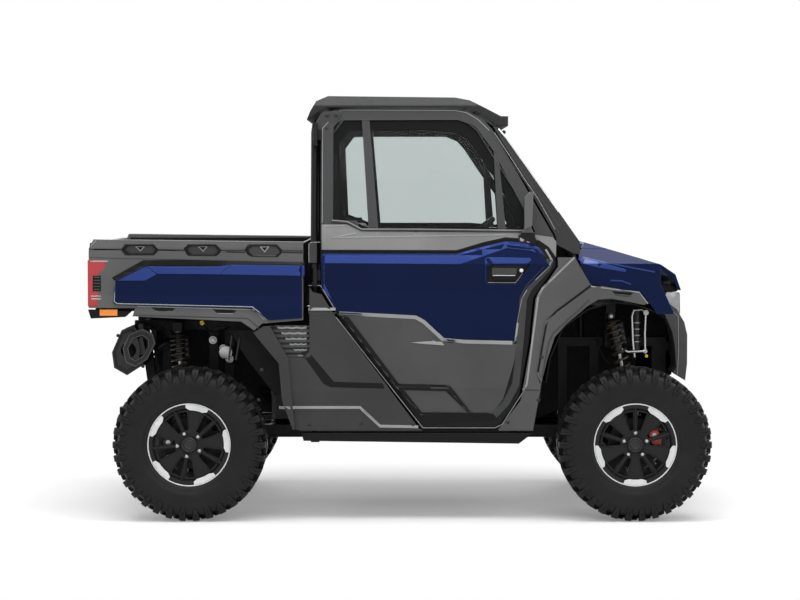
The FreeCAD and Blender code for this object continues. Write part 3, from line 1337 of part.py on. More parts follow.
def bed_tub():
    """The load space: a floor between two walls, closed at the front."""
    half = bed_half - s.bed_side
    left = -half_length + s.tailgate_thickness + s.seat_gap * 10
    length = bed_front - left
    top = rail_top - s.belt_step * 0.3
    wall = s.bed_wall
    floor_low = s.deck_height - s.bed_wall
    channel = [(-half, floor_low), (half, floor_low), (half, top), (half - wall, top),
               (half - wall, s.deck_height),
               (-half + wall, s.deck_height), (-half + wall, top), (-half, top)]
    tray = prism("YZ", channel, left, length)
    front = box((bed_front - wall, -half, floor_low), (bed_front, half, top))
    beams = [box((left + s.rail_size * 2, side * frame_half - rail_half, bed_bottom),
                 (bed_front - wall * 3, side * frame_half + rail_half, floor_low)) for side in (-1, 1)]
    lug_foot = bed_pivot_height - s.pin_radius * 1.2
    lug_in = frame_half + rail_half + s.seat_gap
    lugs = [box((bed_pivot_x - s.pin_radius * 1.4, side, lug_foot),
                (bed_pivot_x + s.pin_radius * 1.4, side + s.pin_radius, floor_low))
            for side in (lug_in, -(lug_in + s.pin_radius))]
    cross_low = bed_bottom + s.pin_radius
    cross = box((strut_head[0] - rail_half, -frame_half, cross_low),
                (strut_head[0] + rail_half, frame_half, floor_low))
    return fused(tray, front, cross, *beams, *lugs, *gate_hinges(False),
                 *strut_ears(strut_head, cross_low))


def bed_face(proud):
    """The bed side's outer face, which spreads over the tyre at its foot."""
    return [(bed_half + s.skin_thickness + proud, bed_bottom - s.belt_step * 2),
            (bed_half + s.skin_thickness * 0.4 + proud, s.deck_height),
            (bed_half + proud, s.deck_height + s.belt_step),
            (bed_half + proud, rail_top - s.belt_step * 0.6)]


def bed_side(half):
    """One side of the bed, with its rail, groove, pockets and the slots over the tyre."""
    outline = bed_box.outline(BED_SIDE_SHARES)
    low, high = bed_bottom, rail_top
    section = [(half - s.bed_side + s.seat_gap, low - s.belt_step * 2), *bed_face(0),
               (half - s.skin_thickness * 0.5, high + s.overrun),
               (half - s.bed_side + s.seat_gap, high + s.overrun)]
    side = faced(outline, section, -half_length, bed_front)
    reach = s.belt_step * 2
    carved = [prism("XZ", bed_box.outline(GROOVE_SHARES), half - s.skin_thickness * 0.5, reach)]
    length = bed_box.right - bed_box.left
    for share in POCKET_START_SHARES:
        left = bed_box.left + length * share
        pocket = Box(left, left + length * 0.166, bed_box.spot(0, 0.79)[1], bed_box.spot(0, 0.935)[1])
        carved.append(prism("XZ", pocket.outline(POCKET_SHARES), half - s.skin_thickness * 0.75, reach))
    carved += [prism("XZ", bed_box.outline(shares), half, reach) for shares in SLOT_SHARES]
    return cut(side, *carved, grown(bed_box.outline(TAIL_LAMP_SHARES), s.seat_gap, half + s.belt_step))


def bed_skin():
    """The painted panel that lies on the bed's side."""
    skin = s.skin_thickness * 0.5
    return faced(bed_box.outline(BED_SKIN_SHARES), bed_face(0) + bed_face(skin)[::-1], -half_length,
                 bed_front)


def tail_lamps():
    """A lamp let into each rear corner of the bed."""
    lamp = prism("XZ", bed_box.outline(TAIL_LAMP_SHARES), bed_half - s.bed_side + s.seat_gap,
                 s.bed_side - s.seat_gap)
    return both(lamp)


def tail_bumper():
    """A short block under each lamp."""
    piece = prism("XZ", bed_box.outline(TAIL_BUMPER_SHARES), bed_half - s.bed_side + s.seat_gap,
                  s.bed_side * 0.9)
    return both(piece)


gate_pivot = (-half_length + s.pin_radius, s.deck_height - s.pin_radius * 1.8)
gate_hinge_half = s.rail_size
gate_low = s.deck_height + s.seat_gap * 10
tub_rear = -half_length + s.tailgate_thickness + s.seat_gap * 10


def gate_hinges(moving):
    """The tailgate's barrels on the pivot line, or the bed's ears beside them."""
    radius = s.pin_radius * 0.7
    x, up = gate_pivot
    pieces = []
    for middle in (-bed_half * 0.6, bed_half * 0.6):
        if moving:
            pieces.append(round_bar("y", (x, middle - gate_hinge_half, up), radius, gate_hinge_half * 2))
            pieces.append(box((x - radius, middle - gate_hinge_half, up),
                              (x + radius, middle + gate_hinge_half, gate_low)))
            continue
        for side in (-1, 1):
            near = middle + side * (gate_hinge_half + s.seat_gap)
            far = near + side * s.pin_radius
            low, high = (near, far) if side > 0 else (far, near)
            pieces.append(box((x - radius, low, up - radius),
                              (tub_rear + s.rail_size, high, s.deck_height - s.bed_wall)))
    return pieces


def tailgate():
    """A flat gate with its hinge barrels below."""
    half = bed_half - s.bed_side * 1.5
    left = -half_length + s.seat_gap * 4
    right = -half_length + s.tailgate_thickness
    panel = box_body((left, -half, gate_low), (right, half, rail_top - s.belt_step * 0.3))
    return fused(panel, *gate_hinges(True))


# The bed's gas strut
STRUT_ROD_SHARE = 0.06
STRUT_TUBE_SHARE = 0.72


def strut_run(from_share, to_share, radius):
    """A straight bar along part of the strut's closed length."""
    start, end = vector(strut_foot), vector(strut_head)
    return swept([tuple(start + (end - start) * share) for share in (from_share, to_share)], radius)


def strut_eye(spot):
    """The eye at one end of the strut."""
    return round_bar("y", (spot[0], -strut_eye_half, spot[2]), s.pin_radius * 1.5, strut_eye_half * 2)


def strut_tube():
    """The cylinder, bored for the rod, with the eye of its foot."""
    barrel = cut(strut_run(0, STRUT_TUBE_SHARE, s.pin_radius * 1.4),
                 strut_run(STRUT_ROD_SHARE * 0.9, 1, s.pin_radius * 0.85 + s.seat_gap))
    return fused(barrel, strut_eye(strut_foot))


def strut_rod():
    """The rod with the eye of its head."""
    return fused(strut_run(STRUT_ROD_SHARE, 1, s.pin_radius * 0.85), strut_eye(strut_head))


def strut_ears(spot, reach):
    """Two plates beside an eye of the strut, from below or above it."""
    x, _, up = spot
    gap = s.seat_gap * 10
    low, high = (up - s.pin_radius * 1.5, reach) if float(reach) > float(up) else (reach,
                                                                                   up + s.pin_radius * 1.5)
    return [box((x - s.pin_radius * 1.6, inner, low), (x + s.pin_radius * 1.6, inner + s.pin_radius * 0.6,
                                                       high))
            for inner in (strut_eye_half + gap, -(strut_eye_half + gap + s.pin_radius * 0.6))]


def add_nodes():
    """Builds every piece and names it."""
    doorway = grown(door_outline, s.shut_gap, body_half + body_face_gap)
    node("frame", frame())
    node("roll_cage", roll_cage())
    node("roof", roof())
    node("cab_tub", cab_tub())
    wall, pane = rear_wall()
    node("rear_wall", wall)
    node("cab_glass", gathered(screen(), pane))
    node("screen_surround", screen_surround(doorway))
    node("dashboard", dashboard())
    node("seat_cushions", seats(CUSHION_SHARES))
    node("seat_backs", seats(BACK_SHARES))
    node("steering_wheel", steering_wheel())
    node("side_panels", side_panels(doorway))
    node("front_flares", front_flares(doorway))
    node("underguard", underguard())
    node("vents", vents())
    bonnet, wings = bonnet_and_wings()
    node("bonnet", bonnet)
    node("wings", wings)
    node("front_fascia", front_fascia())
    node("grille", grille())
    node("headlamps", headlamps())
    node("arch_liners", arch_liners())
    node("engine", engine())
    node("muffler", muffler())
    node("driveline", driveline())
    node("suspension_arms", suspension_arms())
    node("shock_absorbers", shock_absorbers())
    node("rear_knuckles", both(knuckle_form(rear_axle)))
    node("steering_rack", steering_rack())
    node("hitch_receiver", hitch())
    for name, turn in (("right", lambda piece: piece), ("left", mirrored)):
        node(f"knuckle_{name}", turn(steered_knuckle()))
        shell = fused(door_shell(), *door_dividers())
        node(f"door_shell_{name}", turn(shell))
        node(f"door_skin_{name}", turn(door_skin()))
        node(f"door_trim_{name}", turn(door_trim()))
        node(f"door_glass_{name}", turn(door_glass()))
        node(f"door_fittings_{name}", turn(door_fittings()))
    tyre, rim = tyre_form(), rim_form()
    for name, x, y, turn in (("front_right", front_axle, -wheel_centre, 0),
                             ("front_left", front_axle, wheel_centre, 0),
                             ("rear_right", rear_axle, -wheel_centre, REAR_RIM_TURN),
                             ("rear_left", rear_axle, wheel_centre, REAR_RIM_TURN)):
        centre = vector((x, y, axle_height))
        side = Rotation(Vector(0, 0, 1), 0 if float(y) < 0 else 180)
        node(f"tyre_{name}", placed(tyre, "Tyre", Placement(centre, side)))
        side_turned = side * Rotation(Vector(0, 1, 0), turn)
        node(f"rim_{name}", placed(rim.Shape, "Rim", Placement(centre, side_turned)))
    node("bed_tub", bed_tub())
    node("bed_sides", both(bed_side(bed_half)))
    node("bed_skins", both(bed_skin()))
    node("tail_lamps", tail_lamps())
    node("tail_bumper", tail_bumper())
    node("tailgate", tailgate())
    node("strut_tube", strut_tube())
    node("strut_rod", strut_rod())


def check_document():
    """Stops before anything is written if a feature or a piece has failed."""
    doc.recompute()
    failed = [thing.Label for thing in doc.Objects if "Invalid" in thing.State or "Error" in thing.State]
    bad = [name for name, piece in NODES.items() if piece.Shape.isNull() or not piece.Shape.isValid()]
    if failed or bad:
        raise RuntimeError(f"failed features: {failed}; bad shapes: {bad}")


add_nodes()
check_document()
os.makedirs("parts", exist_ok=True)
for name, piece in NODES.items():
    piece.Shape.exportStep(f"parts/{name}.step")
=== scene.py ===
import bmesh
import bpy
import json
import math
from mathutils import Matrix, Vector
from mathutils.geometry import delaunay_2d_cdt
from mathutils.bvhtree import BVHTree


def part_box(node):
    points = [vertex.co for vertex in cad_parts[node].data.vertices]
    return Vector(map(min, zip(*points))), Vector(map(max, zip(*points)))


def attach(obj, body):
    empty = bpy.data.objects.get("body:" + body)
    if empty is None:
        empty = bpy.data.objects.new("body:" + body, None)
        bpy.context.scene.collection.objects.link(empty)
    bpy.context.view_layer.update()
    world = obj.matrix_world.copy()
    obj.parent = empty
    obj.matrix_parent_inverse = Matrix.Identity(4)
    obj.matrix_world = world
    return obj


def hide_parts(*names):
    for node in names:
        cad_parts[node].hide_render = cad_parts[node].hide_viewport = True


# A side-by-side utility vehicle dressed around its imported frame. The frame is in metres;
# points and sizes of shapes are in millimetres, on the vehicle's right side unless they say so.

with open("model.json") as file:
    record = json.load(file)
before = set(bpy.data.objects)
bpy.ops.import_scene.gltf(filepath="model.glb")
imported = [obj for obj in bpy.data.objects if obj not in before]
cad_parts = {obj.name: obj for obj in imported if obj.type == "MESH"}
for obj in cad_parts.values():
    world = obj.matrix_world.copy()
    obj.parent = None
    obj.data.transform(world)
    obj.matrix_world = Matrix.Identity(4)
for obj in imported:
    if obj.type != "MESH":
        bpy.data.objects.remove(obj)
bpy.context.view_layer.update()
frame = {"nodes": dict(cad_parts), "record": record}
NODES = frame["nodes"]
MM = 0.001
ACROSS, OUTWARD, FORWARD, UPWARD = (0, 1, 0), (0, -1, 0), (1, 0, 0), (0, 0, 1)
NODE_SHARP = math.radians(28)
PIECE_SHARP = math.radians(32)
WELD, SLIVER = 0.00002, 0.00001


# Node helpers for procedural materials

GRAIN = 900.0


def socket(shader, name, value):
    shader.inputs[name].default_value = value


def tinted(colour, share):
    return tuple(min(1.0, channel * share) for channel in colour)


class Finish:
    """A material's node tree, built from object coordinates so that it follows its piece."""

    def __init__(self, name, roughness, metallic=0.0, level=0.5):
        self.material = bpy.data.materials.new(name)
        self.material.use_nodes = True
        self.tree = self.material.node_tree
        self.shader = self.tree.nodes["Principled BSDF"]
        self.place = self.node("ShaderNodeTexCoord").outputs["Object"]
        socket(self.shader, "Roughness", roughness)
        socket(self.shader, "Metallic", metallic)
        socket(self.shader, "Specular IOR Level", level)

    def node(self, kind, **settings):
        made = self.tree.nodes.new(kind)
        for name, value in settings.items():
            setattr(made, name, value)
        return made

    def put(self, value, target):
        """Links a socket, or sets a number or a colour on the target."""
        if isinstance(value, bpy.types.NodeSocket):
            self.tree.links.new(value, target)
        else:
            target.default_value = (*value, 1.0) if target.type == "RGBA" else value

    def stretched(self, stretch):
        mapping = self.node("ShaderNodeMapping")
        mapping.inputs["Scale"].default_value = stretch
        self.put(self.place, mapping.inputs["Vector"])
        return mapping.outputs["Vector"]

    def noise(self, scale, detail=3.0, stretch=None):
        made = self.node("ShaderNodeTexNoise")
        socket(made, "Scale", scale)
        socket(made, "Detail", detail)
        self.put(self.stretched(stretch) if stretch else self.place, made.inputs["Vector"])
        return made.outputs["Fac"]

    def cells(self, scale):
        made = self.node("ShaderNodeTexVoronoi")
        socket(made, "Scale", scale)
        self.put(self.place, made.inputs["Vector"])
        return made.outputs["Distance"]

    def ramp(self, factor, *stops):
        """A blend of two colours, each at its own place along the factor."""
        made = self.node("ShaderNodeValToRGB")
        for element, (position, colour) in zip(made.color_ramp.elements, stops):
            element.position = position
            element.color = (*colour, 1.0)
        self.put(factor, made.inputs["Fac"])
        return made.outputs["Color"]

    def mottled(self, colour, dark, light, scale, detail=3.0, low=0.3, high=0.7):
        """A colour in blotches from a darker to a lighter tint."""
        stops = (low, tinted(colour, dark)), (high, tinted(colour, light))
        return self.ramp(self.noise(scale, detail), *stops)

    def span(self, factor, low, high, start=0.3, end=0.7):
        """Maps the stretch from start to end of a factor onto low to high."""
        made = self.node("ShaderNodeMapRange")
        for name, value in (("From Min", start), ("From Max", end), ("To Min", low), ("To Max", high)):
            socket(made, name, value)
        self.put(factor, made.inputs["Value"])
        return made.outputs["Result"]

    def maths(self, operation, first, second):
        made = self.node("ShaderNodeMath", operation=operation)
        self.put(first, made.inputs[0])
        self.put(second, made.inputs[1])
        return made.outputs["Value"]

    def mixed(self, factor, first, second):
        made = self.node("ShaderNodeMix", data_type="RGBA")
        self.put(factor, made.inputs["Factor"])
        self.put(first, made.inputs["A"])
        self.put(second, made.inputs["B"])
        return made.outputs["Result"]

    def rounded(self, radius):
        """Rounds sharp edges in the shading, and gives a factor that rises along them."""
        bevel = self.node("ShaderNodeBevel", samples=4)
        socket(bevel, "Radius", radius)
        true = self.node("ShaderNodeNewGeometry")
        dot = self.node("ShaderNodeVectorMath", operation="DOT_PRODUCT")
        self.put(bevel.outputs["Normal"], dot.inputs[0])
        self.put(true.outputs["Normal"], dot.inputs[1])
        self.put(bevel.outputs["Normal"], self.shader.inputs["Normal"])
        return self.span(dot.outputs["Value"], 1.0, 0.0, 0.72, 0.985)

    def colour(self, source):
        self.put(source, self.shader.inputs["Base Color"])

    def worn(self, base, light, radius):
        """A base colour that gives way to a lighter one along rounded edges: partly wear, partly a painted
        edge highlight.
        """
        self.colour(self.mixed(self.rounded(radius), base, light))

    def uneven(self, source, low, high):
        """Roughness that wanders from low to high with a texture."""
        self.put(self.span(source, low, high), self.shader.inputs["Roughness"])

    def bump(self, height, strength, distance):
        made = self.node("ShaderNodeBump")
        socket(made, "Strength", strength)
        socket(made, "Distance", distance)
        self.put(height, made.inputs["Height"])
        before = self.shader.inputs["Normal"].links
        if before:
            self.put(before[0].from_socket, made.inputs["Normal"])
        self.put(made.outputs["Normal"], self.shader.inputs["Normal"])

    def shown(self, factor, first, second):
        """Sends a blend of two shaders to the output."""
        blend = self.node("ShaderNodeMixShader")
        self.put(factor, blend.inputs["Fac"])
        self.put(first, blend.inputs[1])
        self.put(second, blend.inputs[2])
        self.put(blend.outputs["Shader"], self.tree.nodes["Material Output"].inputs["Surface"])


def grained_plastic(name, colour, roughness, level, wear=1.6, radius=0.004):
    """Moulded plastic: a fine leather-like grain, faint mottling and paler edges, partly rubbed and partly a
    painted highlight.
    """
    finish = Finish(name, roughness, level=level)
    base = finish.mottled(colour, 0.9, 1.1, 3.5, low=0.35, high=0.65)
    finish.worn(base, tinted(colour, wear), radius)
    finish.uneven(finish.noise(40.0), roughness - 0.06, roughness + 0.06)
    finish.bump(finish.cells(GRAIN), 0.22, 0.0005)
    return finish.material


def two_tone_plastic(name, colour, other, low, high=3.0):
    """Moulded plastic that changes colour between two heights of the piece, paler along its edges, partly
    worn and partly a painted highlight.
    """
    finish = Finish(name, 0.48, level=0.2)
    parts = finish.node("ShaderNodeSeparateXYZ")
    finish.put(finish.place, parts.inputs["Vector"])
    height = parts.outputs["Z"]
    above, below = finish.maths("GREATER_THAN", height, low), finish.maths("LESS_THAN", height, high)
    inside = finish.maths("MULTIPLY", above, below)
    base = finish.mixed(inside, colour, other)
    finish.worn(base, finish.mixed(inside, tinted(colour, 3.5), tinted(other, 2.2)), 0.004)
    finish.uneven(finish.noise(40.0), 0.42, 0.54)
    finish.bump(finish.cells(GRAIN), 0.22, 0.0005)
    return finish.material


def metallic_paint(name, colour, flake):
    """Deep metallic paint under a clear coat, with fine flake, a trace of orange peel, and a lighter blue
    along its rounded edges as a painted highlight.
    """
    finish = Finish(name, 0.36, 0.3, 0.1)
    sparkle = finish.span(finish.cells(2600.0), 0.3, 0.0, 0.05, 0.3)
    base = finish.mottled(colour, 0.94, 1.06, 2.0)
    finish.worn(finish.mixed(sparkle, base, flake), tinted(flake, 0.55), 0.005)
    socket(finish.shader, "Specular Tint", (0.3, 0.45, 1.0, 1.0))
    socket(finish.shader, "Coat Weight", 0.06)
    socket(finish.shader, "Coat Roughness", 0.05)
    finish.bump(finish.noise(420.0, 1.0), 0.04, 0.0004)
    return finish.material


def coated_steel(name, colour, roughness, level, wear=2.4):
    """Powder-coated metal, slightly pebbled, paler along its edges, partly worn and partly a painted
    highlight.
    """
    finish = Finish(name, roughness, 0.1, level)
    finish.worn(finish.mottled(colour, 0.85, 1.2, 6.0), tinted(colour, wear), 0.002)
    finish.uneven(finish.noise(60.0), roughness - 0.08, roughness + 0.1)
    finish.bump(finish.noise(700.0, 2.0), 0.2, 0.0004)
    return finish.material


def rubber(name, colour, roughness=0.42, level=0.17):
    """Tyre rubber: a satin skin, a little dusty in its hollows, paler along its edges, partly worn and
    partly a painted highlight.
    """
    finish = Finish(name, roughness, level=level)
    finish.worn(finish.mottled(colour, 1.0, 1.6, 9.0, 6.0, 0.35, 0.75), tinted(colour, 2.2), 0.002)
    finish.uneven(finish.noise(25.0), roughness - 0.08, roughness + 0.1)
    finish.bump(finish.noise(500.0, 4.0), 0.22, 0.0005)
    return finish.material


def bare_metal(name, colour, roughness, stretch=(1.0, 1.0, 1.0), brush=220.0):
    """Machined or cast metal with brushing along the stretch."""
    finish = Finish(name, roughness, 1.0)
    finish.colour(finish.mottled(colour, 0.88, 1.08, 12.0))
    finish.rounded(0.001)
    grain = finish.noise(brush, 4.0, stretch)
    finish.uneven(grain, roughness - 0.06, roughness + 0.1)
    finish.bump(grain, 0.12, 0.0003)
    return finish.material


def window_glass(name, tint):
    """Thin tinted glass: clear light through it, with a gloss that grows at a slant."""
    finish = Finish(name, 0.02)
    finish.colour(finish.mottled(tint, 0.2, 0.22, 1.5))
    clear = finish.node("ShaderNodeBsdfTransparent")
    finish.put(finish.mottled(tint, 1.0, 1.02, 0.9), clear.inputs["Color"])
    slant = finish.node("ShaderNodeFresnel")
    socket(slant, "IOR", 1.28)
    gloss = finish.span(slant.outputs["Fac"], 0.03, 1.0, 0.0, 1.0)
    finish.shown(gloss, clear.outputs["BSDF"], finish.shader.outputs["BSDF"])
    return finish.material


def lens(name, colour, glow, transmission, ribs=160.0):
    """A moulded lens with fine vertical ribs behind a glossy skin."""
    finish = Finish(name, 0.14)
    wave = finish.node("ShaderNodeTexWave", bands_direction="X")
    socket(wave, "Scale", ribs)
    finish.put(finish.place, wave.inputs["Vector"])
    finish.colour(finish.ramp(wave.outputs["Fac"], (0.2, tinted(colour, 0.75)), (0.8, colour)))
    socket(finish.shader, "Transmission Weight", transmission)
    socket(finish.shader, "Coat Weight", 0.6)
    socket(finish.shader, "Coat Roughness", 0.03)
    if glow:
        socket(finish.shader, "Emission Color", (*colour, 1.0))
        socket(finish.shader, "Emission Strength", glow)
    finish.rounded(0.003)
    finish.bump(wave.outputs["Fac"], 0.15, 0.0005)
    return finish.material


def vinyl(name, colour):
    """Seat vinyl: pebbled grain, soft sheen and slightly polished high spots."""
    finish = Finish(name, 0.5, level=0.35)
    finish.colour(finish.mottled(colour, 0.8, 1.25, 14.0, 4.0))
    finish.uneven(finish.noise(8.0), 0.42, 0.6)
    socket(finish.shader, "Sheen Weight", 0.1)
    finish.bump(finish.cells(GRAIN), 0.12, 0.0003)
    return finish.material


BLUE = (0.0040, 0.0080, 0.034)
# A lighter blue painted on as a highlight where panels face the light.
PAINTED_HIGHLIGHT_BLUE = (0.026, 0.046, 0.19)
GREY = (0.054, 0.0545, 0.0545)
FRAME_GREY = (0.040, 0.0405, 0.042)
BLACK = (0.003, 0.003, 0.0033)

MATERIALS = {
    "blue_paint": metallic_paint("blue_metallic_paint", BLUE, (0.05, 0.09, 0.3)),
    # Lighter blue paint that stands for a painted highlight on facets facing the light.
    "facet_blue": metallic_paint("lit_blue_metallic_paint", PAINTED_HIGHLIGHT_BLUE, (0.09, 0.15, 0.5)),
    "grey_plastic": grained_plastic("grey_moulded_plastic", GREY, 0.5, 0.22),
    # Pale grey that stands for painted highlights along lit edges, rims and bars.
    "pale_grey": grained_plastic("rubbed_grey_plastic", (0.25, 0.255, 0.255), 0.45, 0.4, 1.2),
    # A lighter grey for the belt panel, painted as if lit from above.
    "belt_grey": grained_plastic("belt_panel_plastic", (0.20, 0.201, 0.199), 0.48, 0.25, 1.4),
    "mid_grey": grained_plastic("dark_grey_plastic", (0.030, 0.0305, 0.0315), 0.45, 0.35, 2.0),
    "black_plastic": grained_plastic("black_moulded_plastic", BLACK, 0.5, 0.16, 4.0),
    "frame_paint": coated_steel("black_powder_coat", (0.004, 0.004, 0.0042), 0.4, 0.18, 4.0),
    "tyre": rubber("tyre_rubber", (0.0065, 0.0065, 0.0068)),
    "rim_metal": coated_steel("charcoal_rim_paint", (0.010, 0.010, 0.0105), 0.45, 0.2),
    "glass": window_glass("tinted_window_glass", (0.86, 0.885, 0.88)),
    "frit": grained_plastic("black_glass_border", (0.003, 0.0033, 0.0033), 0.4, 0.08, 1.2, 0.001),
    "lamp_clear": lens("clear_lamp_lens", (0.85, 0.87, 0.9), 0.0, 0.6, 90.0),
    "lamp_red": lens("red_lamp_lens", (0.42, 0.010, 0.016), 0.10, 0.1),
    "seat_cover": vinyl("black_seat_vinyl", (0.012, 0.012, 0.0125)),
    "steel": bare_metal("satin_steel", (0.42, 0.42, 0.43), 0.35),
    "cast": coated_steel("dark_cast_metal", (0.010, 0.010, 0.011), 0.42, 0.4, 3.0),
    "dark_rubber": rubber("soft_black_rubber", (0.003, 0.003, 0.003), 0.6, 0.1),
    "machined": bare_metal("machined_aluminium", (0.62, 0.625, 0.63), 0.36, (1.0, 8.0, 1.0), 160.0),
    # The amber reflector glows a little, as painted light.
    "amber": lens("amber_reflector", (0.90, 0.26, 0.01), 0.12, 0.05, 220.0),
    "silver": bare_metal("silver_trim", (0.62, 0.63, 0.64), 0.36),
    "pipe_steel": coated_steel("heated_steel", (0.05, 0.05, 0.052), 0.3, 0.5, 3.0),
    "bronze": coated_steel("bronze_spring_paint", (0.030, 0.020, 0.012), 0.3, 0.5, 3.0),
    "orange": coated_steel("orange_adjuster_ring", (0.75, 0.22, 0.02), 0.4, 0.4, 1.3),
    "red_caliper": coated_steel("red_caliper_paint", (0.42, 0.03, 0.02), 0.35, 0.5, 1.5),
    "yellow": grained_plastic("yellow_tag_plastic", (0.80, 0.62, 0.02), 0.45, 0.4, 1.2, 0.001),
}
SLOT_OF = {row["node"]: row["material_slot"] for row in frame["record"]["subparts"]}
OWN_FINISH = {
    "door_shell": two_tone_plastic("door_frame_plastic", BLACK, FRAME_GREY, 1.30),
    "door_fittings": two_tone_plastic("door_fittings_plastic", BLACK, (0.10, 0.10, 0.10), 1.335, 1.6),
    "screen_surround": two_tone_plastic("screen_frame_plastic", BLACK, (0.022, 0.022, 0.023), 1.0),
    "roof": grained_plastic("dark_roof_plastic", (0.016, 0.0163, 0.0166), 0.52, 0.2, 2.2, 0.012),
    "side_panels": grained_plastic("side_panel_plastic", (0.036, 0.0362, 0.0362), 0.5, 0.2),
    "front_flares": grained_plastic("flare_plastic", (0.074, 0.0745, 0.0745), 0.48, 0.25),
    "bed_sides": grained_plastic("bed_side_plastic", (0.086, 0.0865, 0.086), 0.48, 0.25),
}


def dress_nodes():
    """Gives each CAD node its slot's material, and smooth shading between its sharp edges."""
    for name, thing in NODES.items():
        own = OWN_FINISH.get(name.replace("_right", "").replace("_left", ""))
        thing.data.materials.clear()
        thing.data.materials.append(own or MATERIALS[SLOT_OF[name]])
        thing.data.shade_smooth()
        thing.data.set_sharp_from_angle(angle=NODE_SHARP)


dress_nodes()


# Surfaces to lay pieces on

ABOVE, OUTSIDE, AHEAD = 3000, -1200, 3000
NEAR_SIDE, NEAR_NOSE = -750, 1360


def metres(point):
    return Vector([value * MM for value in point])


class Surface:
    """A set of CAD nodes, and where it is met by rays from several sides."""

    def __init__(self, *names):
        points, faces = [], []
        for name in names:
            mesh = NODES[name].data
            start = len(points)
            points += [vertex.co.copy() for vertex in mesh.vertices]
            faces += [[start + index for index in polygon.vertices] for polygon in mesh.polygons]
        self.tree = BVHTree.FromPolygons(points, faces)

    def met(self, start, way, spare=None):
        """The place in metres that a ray meets, or else the place nearest to a spare point."""
        spot = self.tree.ray_cast(metres(start), Vector(way))[0]
        if spot is None and spare:
            spot = self.tree.find_nearest(metres(spare))[0]
        return spot

    def out(self, x, z):
        """How far out on the right side the surface stands."""
        return self.met((x, OUTSIDE, z), ACROSS, (x, NEAR_SIDE, z)).y / MM

    def ahead(self, y, z):
        """How far forward the surface stands."""
        return self.met((AHEAD, y, z), (-1, 0, 0), (NEAR_NOSE, y, z)).x / MM

    def top(self, x, y, start=ABOVE):
        """How high the surface stands under a starting height."""
        return self.met((x, y, start), (0, 0, -1)).z / MM


def resampled(path, step=24.0, closed=False):
    """The points of a path with more points between them, no further apart than the step allows."""
    points = [Vector(point) for point in path]
    if closed:
        points.append(points[0])
    result = [points[0]]
    for before, after in zip(points, points[1:]):
        count = max(1, int((after - before).length / step))
        result += [before.lerp(after, n / count) for n in range(1, count + 1)]
    return result[:-1] if closed else result


def neighbours(points, closed):
    """Each point of a path with the one before it and the one after it."""
    count = len(points)
    for index, point in enumerate(points):
        before = points[(index - 1) % count] if closed or index else point
        after = points[(index + 1) % count] if closed or index < count - 1 else point
        yield before, point, after


def smoothed(points, steps=8):
    """A smooth run through a few points."""
    spots = [Vector(point) for point in points]
    spots = [spots[0] * 2 - spots[1]] + spots + [spots[-1] * 2 - spots[-2]]
    run = []
    for a, b, c, d in zip(spots, spots[1:], spots[2:], spots[3:]):
        for step in range(steps):
            t = step / steps
            run.append(((b * 2) + (c - a) * t + (a * 2 - b * 5 + c * 4 - d) * t * t
                        + (b * 3 - a - c * 3 + d) * t * t * t) / 2)
    return run + [spots[-2]]


def middle_of(outline):
    return sum((Vector(spot) for spot in outline), Vector((0, 0))) / len(outline)


def scaled(outline, share, centre=None):
    """An outline drawn in or out about a centre, or else about the mean of its points."""
    centre = centre or middle_of(outline)
    return [tuple(centre + (Vector(spot) - centre) * share) for spot in outline]


# Mesh code

